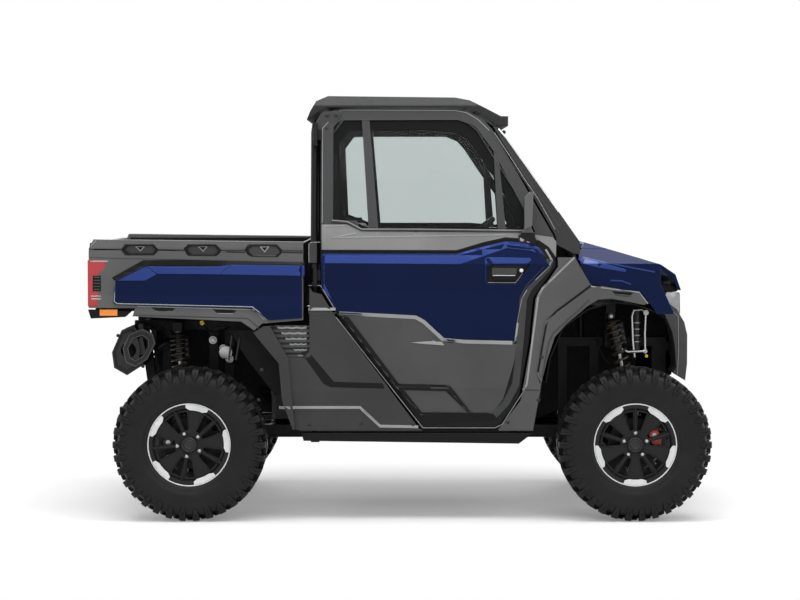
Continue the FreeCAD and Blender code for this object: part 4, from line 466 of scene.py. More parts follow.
class Shape:
    """A mesh in the making, with a finish for each face and the surface that it is laid on."""

    def __init__(self, *nodes):
        self.points, self.faces, self.finishes = [], [], []
        self.surface = Surface(*nodes) if nodes else None

    def add(self, points, faces, finish):
        start = len(self.points)
        self.points += [tuple(point) for point in points]
        self.faces += [[start + index for index in face] for face in faces]
        self.finishes += [finish] * len(faces)

    def loft(self, rings, finish, closed=False):
        """Skins rings of equal length; the ends are capped unless the run is closed."""
        size = len(rings[0])
        faces = []
        for step in range(len(rings) if closed else len(rings) - 1):
            here, there = step * size, (step + 1) % len(rings) * size
            for index in range(size):
                after = (index + 1) % size
                faces.append((here + index, here + after, there + after, there + index))
        if not closed:
            faces.append(tuple(range(size)))
            faces.append(tuple(range((len(rings) - 1) * size, len(rings) * size)))
        self.add([point for ring in rings for point in ring], faces, finish)

    def plate(self, outline, outer, inner, finish):
        """An upright plate from its (x, z) outline, between two places across."""
        self.loft([[(x, outer, z) for x, z in outline], [(x, inner, z) for x, z in outline]], finish)

    def block(self, low, high, finish):
        outline = [(low[0], low[2]), (high[0], low[2]), (high[0], high[2]), (low[0], high[2])]
        self.plate(outline, low[1], high[1], finish)

    def backed(self, front, thickness, finish, way=ACROSS):
        """A plate from the points of its front face, as thick as asked along a way."""
        step = [part * thickness for part in way]
        self.loft([front, [tuple(a + b for a, b in zip(point, step)) for point in front]], finish)

    def opened(self, outer, inner, front, back, finish, front_dip=0, back_dip=0):
        """A plate between two matching outlines; its inner edge may dip at the front and the back."""
        self.loft([[(a[0], front, a[1]), (b[0], front + front_dip, b[1]), (b[0], back + back_dip, b[1]),
                    (a[0], back, a[1])] for a, b in zip(outer, inner)], finish, closed=True)

    def carried(self, section, places, finish):
        """A section of offsets carried along places without turning."""
        rings = [[tuple(a + b for a, b in zip(place, offset)) for offset in section] for place in places]
        self.loft(rings, finish)

    def turned(self, outline, finish, centre=(0, 0, 0), axis=ACROSS, sides=48):
        """A closed (along, radius) outline turned about an axis."""
        turn = Vector(axis).to_track_quat("Y", "Z").to_matrix()
        rings = []
        for step in range(sides):
            angle = math.tau * step / sides
            spots = [Vector((radius * math.cos(angle), along, radius * math.sin(angle)))
                     for along, radius in outline]
            rings.append([Vector(centre) + turn @ spot for spot in spots])
        self.loft(rings, finish, closed=True)

    def drum(self, spot, radius, low, high, finish, axis=ACROSS, sides=20, bore=0):
        """A straight round piece from low to high along an axis."""
        self.turned([(low, bore), (low, radius), (high, radius), (high, bore)], finish, spot, axis, sides)

    def tube(self, path, radius, finish, sides=10):
        """A round tube along a path."""
        path = [Vector(point) for point in path]
        rings, side = [], None
        for before, spot, after in neighbours(path, False):
            ahead = (after - before).normalized()
            if side is None:
                side = ahead.orthogonal().normalized()
            side = (side - ahead * side.dot(ahead)).normalized()
            other = ahead.cross(side)
            rings.append([spot + (side * math.cos(a) + other * math.sin(a)) * radius
                          for a in (math.tau * n / sides for n in range(sides))])
        self.loft(rings, finish)

    def coil(self, low, high, radius, wire, turns, finish):
        """A coil spring between two points, its end turns closed up."""
        axis = high - low
        turn = axis.to_track_quat("Z", "Y").to_matrix()
        path = []
        steps = int(turns * 20)
        for step in range(steps + 1):
            share = step / steps
            rise = share - 0.035 * math.sin(math.tau * share)
            angle = math.tau * turns * share
            path.append(low + turn @ Vector((radius * math.cos(angle), radius * math.sin(angle),
                                             axis.length * rise)))
        self.tube(path, wire, finish, 8)

    def bolt(self, spot, radius, height, finish="cast", axis=OUTWARD):
        """A flanged hexagon head standing on a spot."""
        flange = [(0, 0), (0, radius * 1.45), (height * 0.25, radius * 1.35), (height * 0.3, 0)]
        self.turned(flange, finish, spot, axis, 16)
        head = [(0, 0), (0, radius), (height * 0.85, radius), (height, radius * 0.8), (height, 0)]
        self.turned(head, finish, spot, axis, 6)

    def bolts(self, spots, y, radius, height, finish="cast"):
        """Bolts at (x, z) spots of an upright face."""
        for x, z in spots:
            self.bolt((x, y, z), radius, height, finish)

    def band(self, path, width, lift, finish, depth=3.0, side=0.5):
        """A raised strip along a path of (x, z) points; lift may differ at its two edges."""
        lifts = lift if isinstance(lift, tuple) else (lift, lift)
        rings = []
        for before, point, after in neighbours(resampled(path), False):
            into, away = (point - before), (after - point)
            into = into.normalized() if into.length else away.normalized()
            away = away.normalized() if away.length else into
            normal = Vector((-(into + away).y, (into + away).x)).normalized()
            reach = width / max(0.5, normal.dot(Vector((-into.y, into.x))))
            up, low = point + normal * reach * side, point - normal * reach * (1 - side)
            tops = [(spot.x, self.surface.out(spot.x, spot.y) - rise, spot.y)
                    for spot, rise in zip((up, low), lifts)]
            rings.append([tops[0], tops[1], (low.x, tops[1][1] + depth + lifts[1], low.y),
                          (up.x, tops[0][1] + depth + lifts[0], up.y)])
        self.loft(rings, finish)

    def front_band(self, path, width, lift, finish, closed=False):
        """A raised strip along a path of (y, z) points on the faces that look forward."""
        rings = []
        for before, point, after in neighbours(resampled(path, closed=closed), closed):
            along = (after - before).normalized()
            half = Vector((-along.y, along.x)) * (width / 2)
            up, low = point + half, point - half
            rear, fore = self.surface.ahead(*up), self.surface.ahead(*low)
            rings.append([(rear + lift, *up), (fore + lift, *low), (fore - 4, *low), (rear - 4, *up)])
        self.loft(rings, finish, closed=closed)

    def patch(self, outline, lift, finish, depth=3.0, step=26.0):
        """A thin plate that follows the surface, from its (x, z) outline."""
        rim = resampled(outline, step, closed=True)
        left, right = min(p.x for p in rim), max(p.x for p in rim)
        low, high = min(p.y for p in rim), max(p.y for p in rim)
        inner = [Vector((left + step * (a + 0.5), low + step * (b + 0.5)))
                 for a in range(int((right - left) / step)) for b in range(int((high - low) / step))]
        spots, _, cells, *_ = delaunay_2d_cdt(rim + inner, [], [list(range(len(rim)))], 1, 0.001)
        front = [(spot.x, self.surface.out(spot.x, spot.y) - lift, spot.y) for spot in spots]
        start = len(front)
        back = [(x, y + lift + depth, z) for x, y, z in front]
        faces = [list(cell) for cell in cells]
        faces += [[start + index for index in reversed(cell)] for cell in cells]
        uses = {}
        for cell in cells:
            for first, second in zip(cell, list(cell[1:]) + [cell[0]]):
                key = (min(first, second), max(first, second))
                uses[key] = uses.get(key, 0) + 1
        faces += [[a, b, start + b, start + a] for (a, b), count in uses.items() if count == 1]
        self.add(front + back, faces, finish)

    def changed(self, change):
        """The same shape with each of its points changed."""
        twin = Shape()
        twin.points = [tuple(change(point)) for point in self.points]
        twin.faces = [list(face) for face in self.faces]
        twin.finishes = list(self.finishes)
        return twin

    def mirrored(self):
        return self.changed(lambda point: (point[0], -point[1], point[2]))

    def moved(self, place):
        return self.changed(lambda point: place @ Vector(point))

    def joined(self, other):
        start = len(self.points)
        self.points += other.points
        self.faces += [[start + index for index in face] for face in other.faces]
        self.finishes += other.finishes
        return self


def make(name, shape, body="chassis", bevel=0.0, steps=2, replaced=()):
    """Turns a shape into a piece that rides on a body."""
    mesh = bpy.data.meshes.new(name)
    mesh.from_pydata([Vector(point) * MM for point in shape.points], [], shape.faces)
    kinds = list(dict.fromkeys(shape.finishes))
    for kind in kinds:
        mesh.materials.append(MATERIALS[kind])
    mesh.polygons.foreach_set("material_index", [kinds.index(kind) for kind in shape.finishes])
    work = bmesh.new()
    work.from_mesh(mesh)
    bmesh.ops.remove_doubles(work, verts=work.verts, dist=WELD)
    bmesh.ops.dissolve_degenerate(work, edges=work.edges, dist=SLIVER)
    bmesh.ops.recalc_face_normals(work, faces=work.faces)
    work.to_mesh(mesh)
    work.free()
    mesh.shade_smooth()
    mesh.set_sharp_from_angle(angle=PIECE_SHARP)
    piece = bpy.data.objects.new(name, mesh)
    bpy.context.scene.collection.objects.link(piece)
    if bevel:
        edges = piece.modifiers.new("Edges", "BEVEL")
        edges.width = bevel * MM
        edges.segments = steps
        edges.limit_method = "ANGLE"
        edges.angle_limit = PIECE_SHARP
        edges.harden_normals = True
        edges.use_clamp_overlap = True
    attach(piece, body)
    if replaced:
        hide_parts(*replaced)
    return piece


def make_both(name, shape, body="chassis", **options):
    """One piece that holds a shape and its mirror image."""
    make(name, shape.mirrored().joined(shape), body, **options)


def make_pair(name, shape, body="door_{}", bevel=0.0):
    """A piece on each side, each on its own side's body."""
    for side, twin in (("right", shape), ("left", shape.mirrored())):
        make(f"{name}_{side}", twin, body.format(side), bevel)


# Wheels: tyre and rim on each, about the hub's centre with the outer face toward the right

FRONT_AXLE, REAR_AXLE, HUB_HEIGHT, HALF_TRACK = 1086.5, -973.5, 355.5, 690.0
TYRE_SIDES, RIM_SIDES = 136, 96
LUGS, LUG_DROP = 34, 11.0
CARCASS = [(90, 190), (98, 191), (105, 197), (111, 206), (112, 211), (115, 212), (116, 217), (119, 222),
    (122.5, 240), (124.5, 262), (124, 284), (121, 303), (114, 320), (100, 330), (70, 333.5), (0, 334.5)]
LUG_RUN = [(60, 354.6, 331, 12.5, 0), (97, 354.0, 328, 14, 0), (112, 349, 322, 14.5, 0),
    (119.5, 337, 314, 14, 0), (122.8, 330, 308, 13.5, 5), (125.6, 314, 300, 12.0, 5),
    (126.6, 303, 296, 10.5, 0), (126.8, 291, 288, 7.0, 0), (125.2, 283, 284, 2.0, 0)]
BLOCK = [(-17, 7), (6, 3), (17, 19), (14, 46), (-6, 52), (-17, 33)]
BLOCK_FOOT, BLOCK_TOP, SLIT = 330, 355.2, 2.4
SPOKES = 5
SPOKE_END = [-17.0, -11.0, -4.0, 4.0, 11.0, 17.0]
LIP_RING = [(-100, 186), (-104, 187), (-104.4, 192), (-101, 193.5), (-98, 193)]
LIP_GROOVE = [(-86, 180), (-100.5, 184), (-100.5, 186.5), (-86, 186.5)]
WEDGE = [(44, -17, -92.2), (44, 17, -92.2), (100, 10.8, -92.6), (159.5, 11.6, -93), (159.5, 0, -93),
         (159.5, -11.6, -93), (100, -10.8, -92.6)]
HUB_CAP = [(-92, 0), (-92, 36), (-97, 37), (-103, 33.5), (-104.5, 30), (-102.5, 28.5), (-102.5, 24),
           (-104.6, 22), (-104.6, 16), (-102.6, 14.5), (-102.6, 0)]
NUT_SEAT = [(0, 0), (0, 12.5), (3, 12), (4, 0)]
NUT = [(0, 0), (0, 8.6), (14, 8.6), (17, 5.5), (17, 0)]
CALIPER = [(84, -2), (124, -2), (130, 14), (126, 34), (108, 46), (84, 40), (78, 18)]
CALIPER_PISTONS, PISTON_RADIUS = [(25, 26), (-8, 11)], 100
CALIPER_FACE, PISTON_TOP = -740, 19
CALIPERS = [("front", FRONT_AXLE, 1, 0, "red_caliper", "knuckle_{}"),
            ("rear", REAR_AXLE, -1, 150, "cast", "chassis")]


def round_tyre(angle, across, radius, along=0.0):
    """A point at an angle and radius about the hub, shifted along the tread."""
    turn = angle + along / radius
    return (radius * math.cos(turn), across, radius * math.sin(turn))


def shoulder_lug(shape, angle, side, drop):
    """A tapering lug from the tread over the shoulder, with a short slit at its brow."""
    rings = []
    for index, (across, top, base, half, slit) in enumerate(LUG_RUN):
        if index > 4:
            top, base = top + drop, base + drop
            across = across - drop * 0.04
        foot = across - (top - base) * 0.25 if index < 4 else across - 7
        place = [(foot, base, -half - 2.5), (across, top, -half), (across, top, -SLIT),
                 (across - slit, top, -SLIT), (across - slit, top, SLIT), (across, top, SLIT),
                 (across, top, half), (foot, base, half + 2.5)]
        rings.append([round_tyre(angle, y * side, r, t) for y, r, t in place])
    shape.loft(rings, "tyre")


def tread_block(shape, angle, side):
    low = [round_tyre(angle, y * side, BLOCK_FOOT, t * 1.12) for t, y in BLOCK]
    high = [round_tyre(angle, y * side, BLOCK_TOP, t) for t, y in BLOCK]
    shape.loft([low, high], "tyre")


def tyre():
    """The carcass, and its lugs and tread blocks, as two shapes."""
    carcass, lugs = Shape(), Shape()
    outline = [(-across, radius) for across, radius in CARCASS] + CARCASS[::-1][1:]
    carcass.turned(outline, "tyre", sides=TYRE_SIDES)
    pitch = math.tau / LUGS
    for index in range(LUGS):
        for side, shift in ((-1, 0.0), (1, 0.5)):
            angle = (index + shift) * pitch
            shoulder_lug(lugs, angle, side, 0.0 if index % 2 else LUG_DROP)
            tread_block(lugs, angle + pitch * 0.5, side)
    return carcass, lugs


def spoke_trim(shape, middle):
    """One spoke's bright end and wedge, and the ribs and nut beside it."""

    def spot(radius, degrees, across):
        return round_tyre(middle + math.radians(degrees), across, radius)

    for near, far in zip(SPOKE_END, SPOKE_END[1:]):
        feet = [spot(172 if abs(end) > 12 else 161, end, -103.6) for end in (near, far)]
        shape.backed([feet[0], spot(186.4, near, -104.0), spot(186.4, far, -104.0), feet[1]], 5, "machined")
    shape.backed([spot(*place) for place in WEDGE], 5, "rim_metal")
    for degrees in (-13.6, 13.6):
        edge = [spot(66, degrees * 1.15, -90.5), spot(120, degrees, -91), spot(160, degrees * 0.98, -91)]
        shape.tube(edge, 1.7, "rim_metal", 8)
    shape.tube([spot(60, 36, -92), spot(120, 36, -93.5), spot(168, 36, -95)], 5.0, "rim_metal")
    for degrees in (24.5, 36, 47.5):
        tick = [spot(165, degrees - 3, -93), spot(176, degrees, -95), spot(165, degrees + 3, -93)]
        shape.tube(tick, 1.8, "rim_metal", 6)
    nut = spot(55, 36, -90)
    shape.turned(NUT_SEAT, "cast", nut, OUTWARD, 24)
    shape.turned(NUT, "steel", nut, OUTWARD, 6)


def rim_trim(turn):
    """The bright lip ring, the spokes' trim, the cap and the valve that dress a rim."""
    shape = Shape()
    shape.turned(LIP_RING, "machined", sides=RIM_SIDES)
    shape.turned(LIP_GROOVE, "rim_metal", sides=RIM_SIDES)
    for spoke in range(SPOKES):
        spoke_trim(shape, math.radians(270 + turn + 360 / SPOKES * spoke))
    shape.turned(HUB_CAP, "cast")
    valve = math.radians(270 + turn + 180 / SPOKES)
    foot = Vector((150 * math.cos(valve), -88, 150 * math.sin(valve)))
    tip = foot + Vector((-4 * math.cos(valve), -20, -4 * math.sin(valve)))
    shape.tube([foot, foot + Vector((0, -9, 0)), tip], 3.2, "dark_rubber", 8)
    return shape


def wheels():
    """Carcass, lugs and rim trim of the four wheels."""
    carcass, lugs = tyre()
    for axle, x, turn in (("front", FRONT_AXLE, 0.0), ("rear", REAR_AXLE, 24.0)):
        for side, y, facing in (("right", -HALF_TRACK, 0.0), ("left", HALF_TRACK, math.pi)):
            place = Matrix.Translation((x, y, HUB_HEIGHT)) @ Matrix.Rotation(facing, 4, "Z")
            name = f"{axle}_{side}"
            body, nodes = f"wheel_{name}", (f"tyre_{name}",)
            make(f"tyre_carcass_{name}", carcass.moved(place), body, replaced=nodes)
            make(f"tyre_lugs_{name}", lugs.moved(place), body, 1.3, 1, nodes)
            make(f"rim_trim_{name}", rim_trim(turn).moved(place), body, 0.8, 1)


def calipers():
    """A caliper that straddles each disc, red in front and grey behind."""
    for name, axle, facing, turn, finish, body in CALIPERS:
        shape = Shape()
        for degrees, wide in CALIPER_PISTONS:
            angle = math.radians(degrees + turn)
            x, z = axle + PISTON_RADIUS * math.cos(angle), HUB_HEIGHT + PISTON_RADIUS * math.sin(angle)
            ring = [(0, 0), (0, wide), (PISTON_TOP - 3, wide), (PISTON_TOP, wide - 4), (PISTON_TOP, 0)]
            shape.turned(ring, finish, (x, CALIPER_FACE, z), OUTWARD, 20)
            shape.bolt((x, CALIPER_FACE - PISTON_TOP, z), wide * 0.3, 4, "steel")
        bridge = [(axle + math.cos(math.radians(a)) * r * facing, HUB_HEIGHT + math.sin(math.radians(a)) * r)
                  for r, a in CALIPER]
        shape.plate(bridge, CALIPER_FACE - 1, CALIPER_FACE + 28, finish)
        make_pair(f"caliper_{name}", shape, body, 1.5)


# Views: readings across and down in enlarged pictures of the right side, turned into millimetres

def view(left, top, x, z, size):
    """A view with one known point and the size of a pixel; it places (across, down) pixels."""
    def placed(*pixels):
        return [(round(x + (across - left) * size), round(z - (down - top) * size))
                for across, down in pixels]
    return placed


low_view = view(125, 272, -366, 1191, 0.762)
high_view = view(125, 820, -366, 1371.6, 0.762)
bed_view = view(45, 125, -1434.6, 1303, 0.7345)
nose_view = view(710, 1168, 1086.5, 355.5, 0.893)


# Doors: belt panel, facets in a lighter blue as painted highlights, bevels with painted highlight and shade,
# handle, window frame and mirror

BELT_PANEL = low_view((130, 36), (282, 33), (372, 77), (1355, 84), (1425, 97), (1530, 112), (1553, 140),
    (1550, 232), (1508, 172), (1448, 130), (1395, 122), (1245, 112), (1110, 142), (948, 190), (130, 188))
BELT_RAIL = low_view((192, 12), (285, 20), (372, 66), (700, 66), (1350, 74))
BELT_FOLD = low_view((340, 88), (200, 115), (1250, 98))
BELT_CORNER = low_view((150, 180), (152, 45), (275, 45))
SHADOW_LINE = low_view((128, 196), (948, 198), (1110, 154), (1245, 124), (1395, 136), (1450, 150),
    (1512, 196), (1540, 252))
# Outlines painted in the lighter blue as highlights where the door faces the light.
PAINTED_BRIGHT_FACET = low_view((134, 210), (945, 212), (1112, 168), (1248, 137), (1396, 150), (1450, 178),
    (1497, 238), (1462, 212), (1388, 192), (1255, 176), (1112, 226), (968, 274), (150, 268))
PAINTED_SIDE_FACET = low_view((128, 212), (148, 270), (146, 392), (205, 520), (214, 556), (126, 404))
SKIN_BEVEL = low_view((236, 572), (700, 598), (748, 624), (868, 734), (1000, 746), (1288, 752))
FRONT_BEVEL = low_view((1288, 752), (1306, 735), (1318, 640), (1348, 482), (1388, 414), (1506, 296),
    (1526, 252), (1488, 186))
FRONT_EDGE = low_view((1530, 252), (1506, 310), (1398, 424), (1368, 486), (1348, 740), (1322, 1010),
    (1262, 1125), (1188, 1202))
FOOT_EDGE = low_view((1188, 1206), (745, 1206), (700, 1180), (250, 598))
TRIM_PAINTED_HIGHLIGHT = low_view((668, 750), (800, 742), (846, 716), (884, 740), (870, 768), (730, 757))
TRIM_CREASE = low_view((592, 1002), (872, 1008), (912, 1022), (1032, 1174), (1012, 1174), (884, 1046),
    (610, 1038))
SLANT_EDGE = low_view((230, 590), (292, 594), (606, 1012), (738, 1176), (1150, 1180), (1190, 1226),
    (744, 1254), (716, 1240))
MIRROR_FOOT = low_view((1322, 98), (1424, 92), (1430, 140), (1392, 152), (1326, 140))
MIRROR_BOLTS = low_view((1346, 122), (1386, 130), (1412, 116))
RECESS_RIM = low_view((1138, 262), (1384, 262), (1350, 330), (1306, 388), (1138, 386))
RECESS_TOP_PAINTED_HIGHLIGHT = low_view((1120, 240), (1140, 232), (1392, 236), (1400, 250), (1376, 286), (1160, 286))
RECESS_SIDE_PAINTED_HIGHLIGHT = low_view((1120, 242), (1156, 288), (1156, 384), (1122, 384))
GRIP = low_view((1162, 298), (1312, 300), (1312, 336), (1162, 336))
GRIP_SLOT = low_view((1166, 352), (1304, 352), (1304, 366), (1166, 366))
LOCK = (560, 1160)
LOCK_RING = [(0, 0), (0, 9), (5, 9), (6.5, 7.5), (6.5, 3), (5, 2), (5, 0)]
POST_LINE = high_view((134, 812), (134, 236), (196, 168), (246, 124))
TOP_LINE = high_view((246, 124), (940, 126), (1010, 140), (1080, 182), (1150, 250))
SLANT_LINE = high_view((1180, 262), (1372, 560), (1440, 660), (1545, 850))
OPENING_LINE = high_view((196, 800), (196, 270), (262, 184), (960, 182), (1020, 204), (1075, 250),
    (1180, 420), (1348, 690), (1430, 868))
FRIT_OUTER = high_view((200, 846), (200, 272), (264, 184), (420, 184), (955, 184), (1015, 206), (1075, 252),
    (1176, 428), (1340, 690), (1432, 868), (1300, 866), (1100, 862), (480, 862), (420, 856), (300, 826))
FRIT_INNER = high_view((252, 776), (234, 330), (293, 251), (397, 249), (915, 249), (994, 280), (1045, 338),
    (1120, 451), (1250, 633), (1336, 842), (1240, 846), (1086, 834), (480, 834), (410, 836), (330, 806))
QUARTER_POST = high_view((1166, 380), (1214, 420), (1240, 842), (1194, 842))
SEAL = low_view((112, -560), (112, 36), (118, 404), (215, 572), (720, 1262), (1190, 1262), (1262, 1180),
    (1362, 1010), (1392, 600), (1420, 500), (1560, 320), (1562, 150))
SEAL_PLACE, SEAL_SECTION = -600, [(-30, -4, 6), (30, -4, -6), (30, 4, -6), (-30, 4, 6)]
STRIKER = (-404, -606, 1040), (-345, -598, 1130)
HINGE_PLATE = high_view((92, 290), (92, 196), (120, 150), (150, 132), (246, 132), (250, 152), (158, 288))
HINGE_PLATE_BOLTS = [(-338, 1878), (-296, 1878), (-340, 1817)]


def door_belt():
    """The grey belt panel, a lighter grey painted as if lit from above, with its folds and rail, their pale
    edges painted highlights, and the dark line below it that is a painted shadow.
    """
    shape = Shape("door_shell_right", "door_skin_right", "door_trim_right")
    shape.patch(BELT_PANEL, 5, "belt_grey", 8)
    shape.band(BELT_FOLD, 5, 6.5, "pale_grey")
    shape.band(BELT_CORNER, 3, 6.5, "pale_grey")
    shape.band(BELT_RAIL, 12, (11, 9), "grey_plastic", depth=12)
    shape.band(BELT_RAIL, 3.5, 12, "pale_grey", side=1.2)
    shape.band(SHADOW_LINE, 10, 2, "black_plastic", depth=6)
    make_pair("door_belt_panel", shape, bevel=1.2)


def door_facets():
    """Lighter blue patches painted as highlights on the parts of the painted panel that face the light."""
    shape = Shape("door_skin_right", "door_shell_right")
    shape.patch(PAINTED_BRIGHT_FACET, 1.4, "facet_blue", 4)
    shape.patch(PAINTED_SIDE_FACET, 1.2, "facet_blue", 4)
    shape.patch(RECESS_TOP_PAINTED_HIGHLIGHT, 2.2, "facet_blue", 5)
    shape.patch(RECESS_SIDE_PAINTED_HIGHLIGHT, 2.0, "facet_blue", 5)
    make_pair("door_skin_facets", shape, bevel=0.8)


def door_bevels():
    """The pale chamfers round the painted panel, their paleness a painted highlight, and the dark ones round
    the door's foot, their darkness painted shade.
    """
    shape = Shape("door_skin_right", "door_trim_right", "door_shell_right")
    shape.band(SKIN_BEVEL, 17, (3.0, 1.0), "pale_grey", depth=6)
    shape.band(FRONT_BEVEL, 9, 3.0, "pale_grey", depth=6)
    shape.band(FRONT_EDGE, 34, (3.5, 1.0), "mid_grey", depth=8, side=0.2)
    shape.band(FOOT_EDGE, 30, (0.5, 2.0), "black_plastic", depth=8)
    shape.patch(SLANT_EDGE, 3.2, "black_plastic", 8, 12)
    shape.patch(TRIM_CREASE, 2.4, "black_plastic", 6, 10)
    shape.patch(TRIM_PAINTED_HIGHLIGHT, 1.8, "pale_grey", 5)
    make_pair("door_bevels", shape, bevel=0.8)


def door_handle():
    """The grip in its dark recess, with a bright lip, the lock, and a pale line along the recess rim painted
    as a highlight.
    """
    shape = Shape("door_skin_right")
    face = min(shape.surface.out(x, z) for x, z in RECESS_RIM)
    shape.plate(RECESS_RIM, face + 15, face + 19, "black_plastic")
    shape.plate(GRIP, face + 1, face + 12, "mid_grey")
    shape.plate([(x + 2, z - 2) for x, z in GRIP_SLOT], face + 4, face + 12, "black_plastic")
    left, right = GRIP_SLOT[:2]
    lip = [(x, z + rise) for (x, z), rise in ((right, 9), (left, 9), (left, 5), (right, 5))]
    shape.plate(lip, face + 3, face + 10, "silver")
    shape.turned(LOCK_RING, "silver", (LOCK[0], face + 4, LOCK[1]), OUTWARD, 28)
    shape.band(RECESS_RIM[2:] + RECESS_RIM[4:], 3, 1.5, "pale_grey")
    make_pair("door_handle", shape, bevel=0.8)


def mirror_foot():
    """The clamp at the foot of the door mirror, with its screws."""
    shape = Shape("door_shell_right", "door_skin_right")
    face = min(shape.surface.out(x, z) for x, z in MIRROR_BOLTS)
    shape.plate(MIRROR_FOOT, face - 9, face + 4, "cast")
    shape.bolts(MIRROR_BOLTS, face - 9, 8, 5, "steel")
    make_pair("mirror_foot", shape, bevel=1.5)


def window_frame():
    """Pale edge lines of the window frame, painted as highlights."""
    shape = Shape("door_shell_right")
    for path in (POST_LINE, TOP_LINE, SLANT_LINE):
        shape.band(path, 3, 1.0, "pale_grey")
    shape.band(OPENING_LINE, 4, 0.8, "mid_grey")
    make_pair("window_frame_lines", shape)


def window_border():
    """The black border of the door's glass, with the post that cuts off its corner."""
    shape = Shape("door_glass_right")
    shape.patch(QUARTER_POST, 1.2, "frit", 0.8, 60)
    rings = []
    for outer, inner in zip(FRIT_OUTER, FRIT_INNER):
        rings.append([(x, shape.surface.out(x, z) + lift, z)
                      for (x, z), lift in ((outer, -1.0), (inner, -1.0), (inner, 1.0), (outer, 1.0))])
    shape.loft(rings, "frit", closed=True)
    make_pair("window_border", shape)


def door_jambs():
    """The rubber seal that a door shuts on, with its striker."""
    shape = Shape()
    shape.carried(SEAL_SECTION, [(x, SEAL_PLACE, z) for x, z in resampled(SEAL, 60)], "dark_rubber")
    shape.block(*STRIKER, "dark_rubber")
    make_both("door_jambs", shape)


def upper_hinge_plate():
    """The plate over the door's upper hinge, with its screws."""
    shape = Shape("door_shell_right")
    face = min(shape.surface.out(x, z) for x, z in HINGE_PLATE[3:5]) - 5
    shape.plate(HINGE_PLATE, face, face + 7, "mid_grey")
    shape.bolts(HINGE_PLATE_BOLTS, face, 7.5, 6)
    make_pair("upper_hinge_plate", shape, bevel=1.5)


# Cargo bed: rail pockets, painted facets in a lighter blue as painted highlights, lamps, reflector and flare
# slots

RAIL_GROOVE = [bed_view((75, 188), (250, 186)), bed_view((478, 190), (640, 200)), bed_view((872, 203),
    (1028, 207)), bed_view((1260, 207), (1398, 209))]
POCKETS = [bed_view((252, 180), (278, 158), (452, 158), (478, 184), (478, 200), (455, 222), (285, 220),
    (254, 198)), bed_view((640, 180), (672, 160), (846, 160), (872, 188), (872, 205), (845, 230),
    (676, 228), (650, 206)), bed_view((1028, 182), (1058, 164), (1232, 164), (1258, 190), (1258, 210),
    (1228, 236), (1066, 234), (1036, 210))]
POCKET_MARKS = [bed_view((332, 168), (396, 168), (366, 202)), bed_view((724, 168), (790, 168), (760, 204)),
    bed_view((1114, 170), (1178, 170), (1148, 208))]
# A black band painted as the shadow under the bed's rail.
RAIL_PAINTED_SHADOW = bed_view((186, 366), (384, 256), (640, 252), (1398, 272), (1398, 284), (936, 284), (862, 292),
    (405, 294), (222, 384), (202, 384))
# Outlines painted in the lighter blue as highlights where the bed side faces the light.
PAINTED_BED_FACET = bed_view((408, 295), (862, 296), (936, 284), (1398, 290), (1398, 354), (880, 344), (470, 340))
PAINTED_CORNER_FACET = bed_view((224, 383), (402, 296), (468, 346), (396, 384))
FACET_STEP = bed_view((862, 344), (936, 286))
SKIN_RIM = bed_view((206, 384), (204, 515), (220, 528), (1070, 548), (1112, 580), (1158, 632))
RAIL_EDGE = bed_view((60, 166), (92, 126), (1398, 142))
RAIL_FOOT = bed_view((48, 236), (200, 244), (640, 250), (1398, 268))
LAMP_LOUVRES = bed_view((66, 352), (118, 352), (118, 452), (66, 452))
LAMP_STRIPS = [bed_view((56, 262), (162, 262)), bed_view((56, 482), (116, 482)), bed_view((56, 500),
    (116, 500))]
REFLECTOR = bed_view((108, 566), (220, 566), (220, 606), (108, 606))
FLARE_SLOTS = [bed_view((438, 556), (584, 556), (562, 576), (462, 576)), bed_view((822, 566), (974, 572),
    (950, 592), (852, 590))]
FLARE_EDGE = bed_view((330, 600), (1040, 622), (1075, 650), (1128, 700))
FLARE_TOP = bed_view((345, 545), (1075, 566), (1120, 600), (1160, 655))
FLOOR_RIBS, RIB_SPACING, RIB_REAR, RIB_FRONT = 9, 140, -1360, -480
RIB_FOOT, RIB_TOP, RIB_RISE, RIB_SLOPE = 22, 14, 5, 4
GATE_PANELS, GATE_LOW, GATE_HIGH, GATE_PANEL_WIDTH = (-600, -190, 220), 1010, 1235, 380
GATE_RIMS = ((-1440.5, 0), (-1441, 8))
GATE_LATCH = (-1441, -130, 1205), (-1434, 130, 1245)


def bed_pocket(shape, outline, mark):
    """A pocket in the side rail: a dark frame round a floor with a hollow three-cornered mark, whose pale
    rim is a painted highlight.
    """
    side = shape.surface
    inner = scaled(outline, 0.84)
    face = min(side.out(*spot) for spot in outline) - 1.2
    floor = max(min(side.out(*spot) for spot in inner) - 1.0, face + 3)
    shape.opened(outline, inner, face, face + 10, "black_plastic")
    shape.plate(inner, floor, floor + 4, "mid_grey")
    hollow = scaled(mark, 0.62)
    shape.opened(mark, hollow, floor - 3, floor + 1, "pale_grey")
    shape.plate(hollow, floor - 1, floor + 1, "black_plastic")


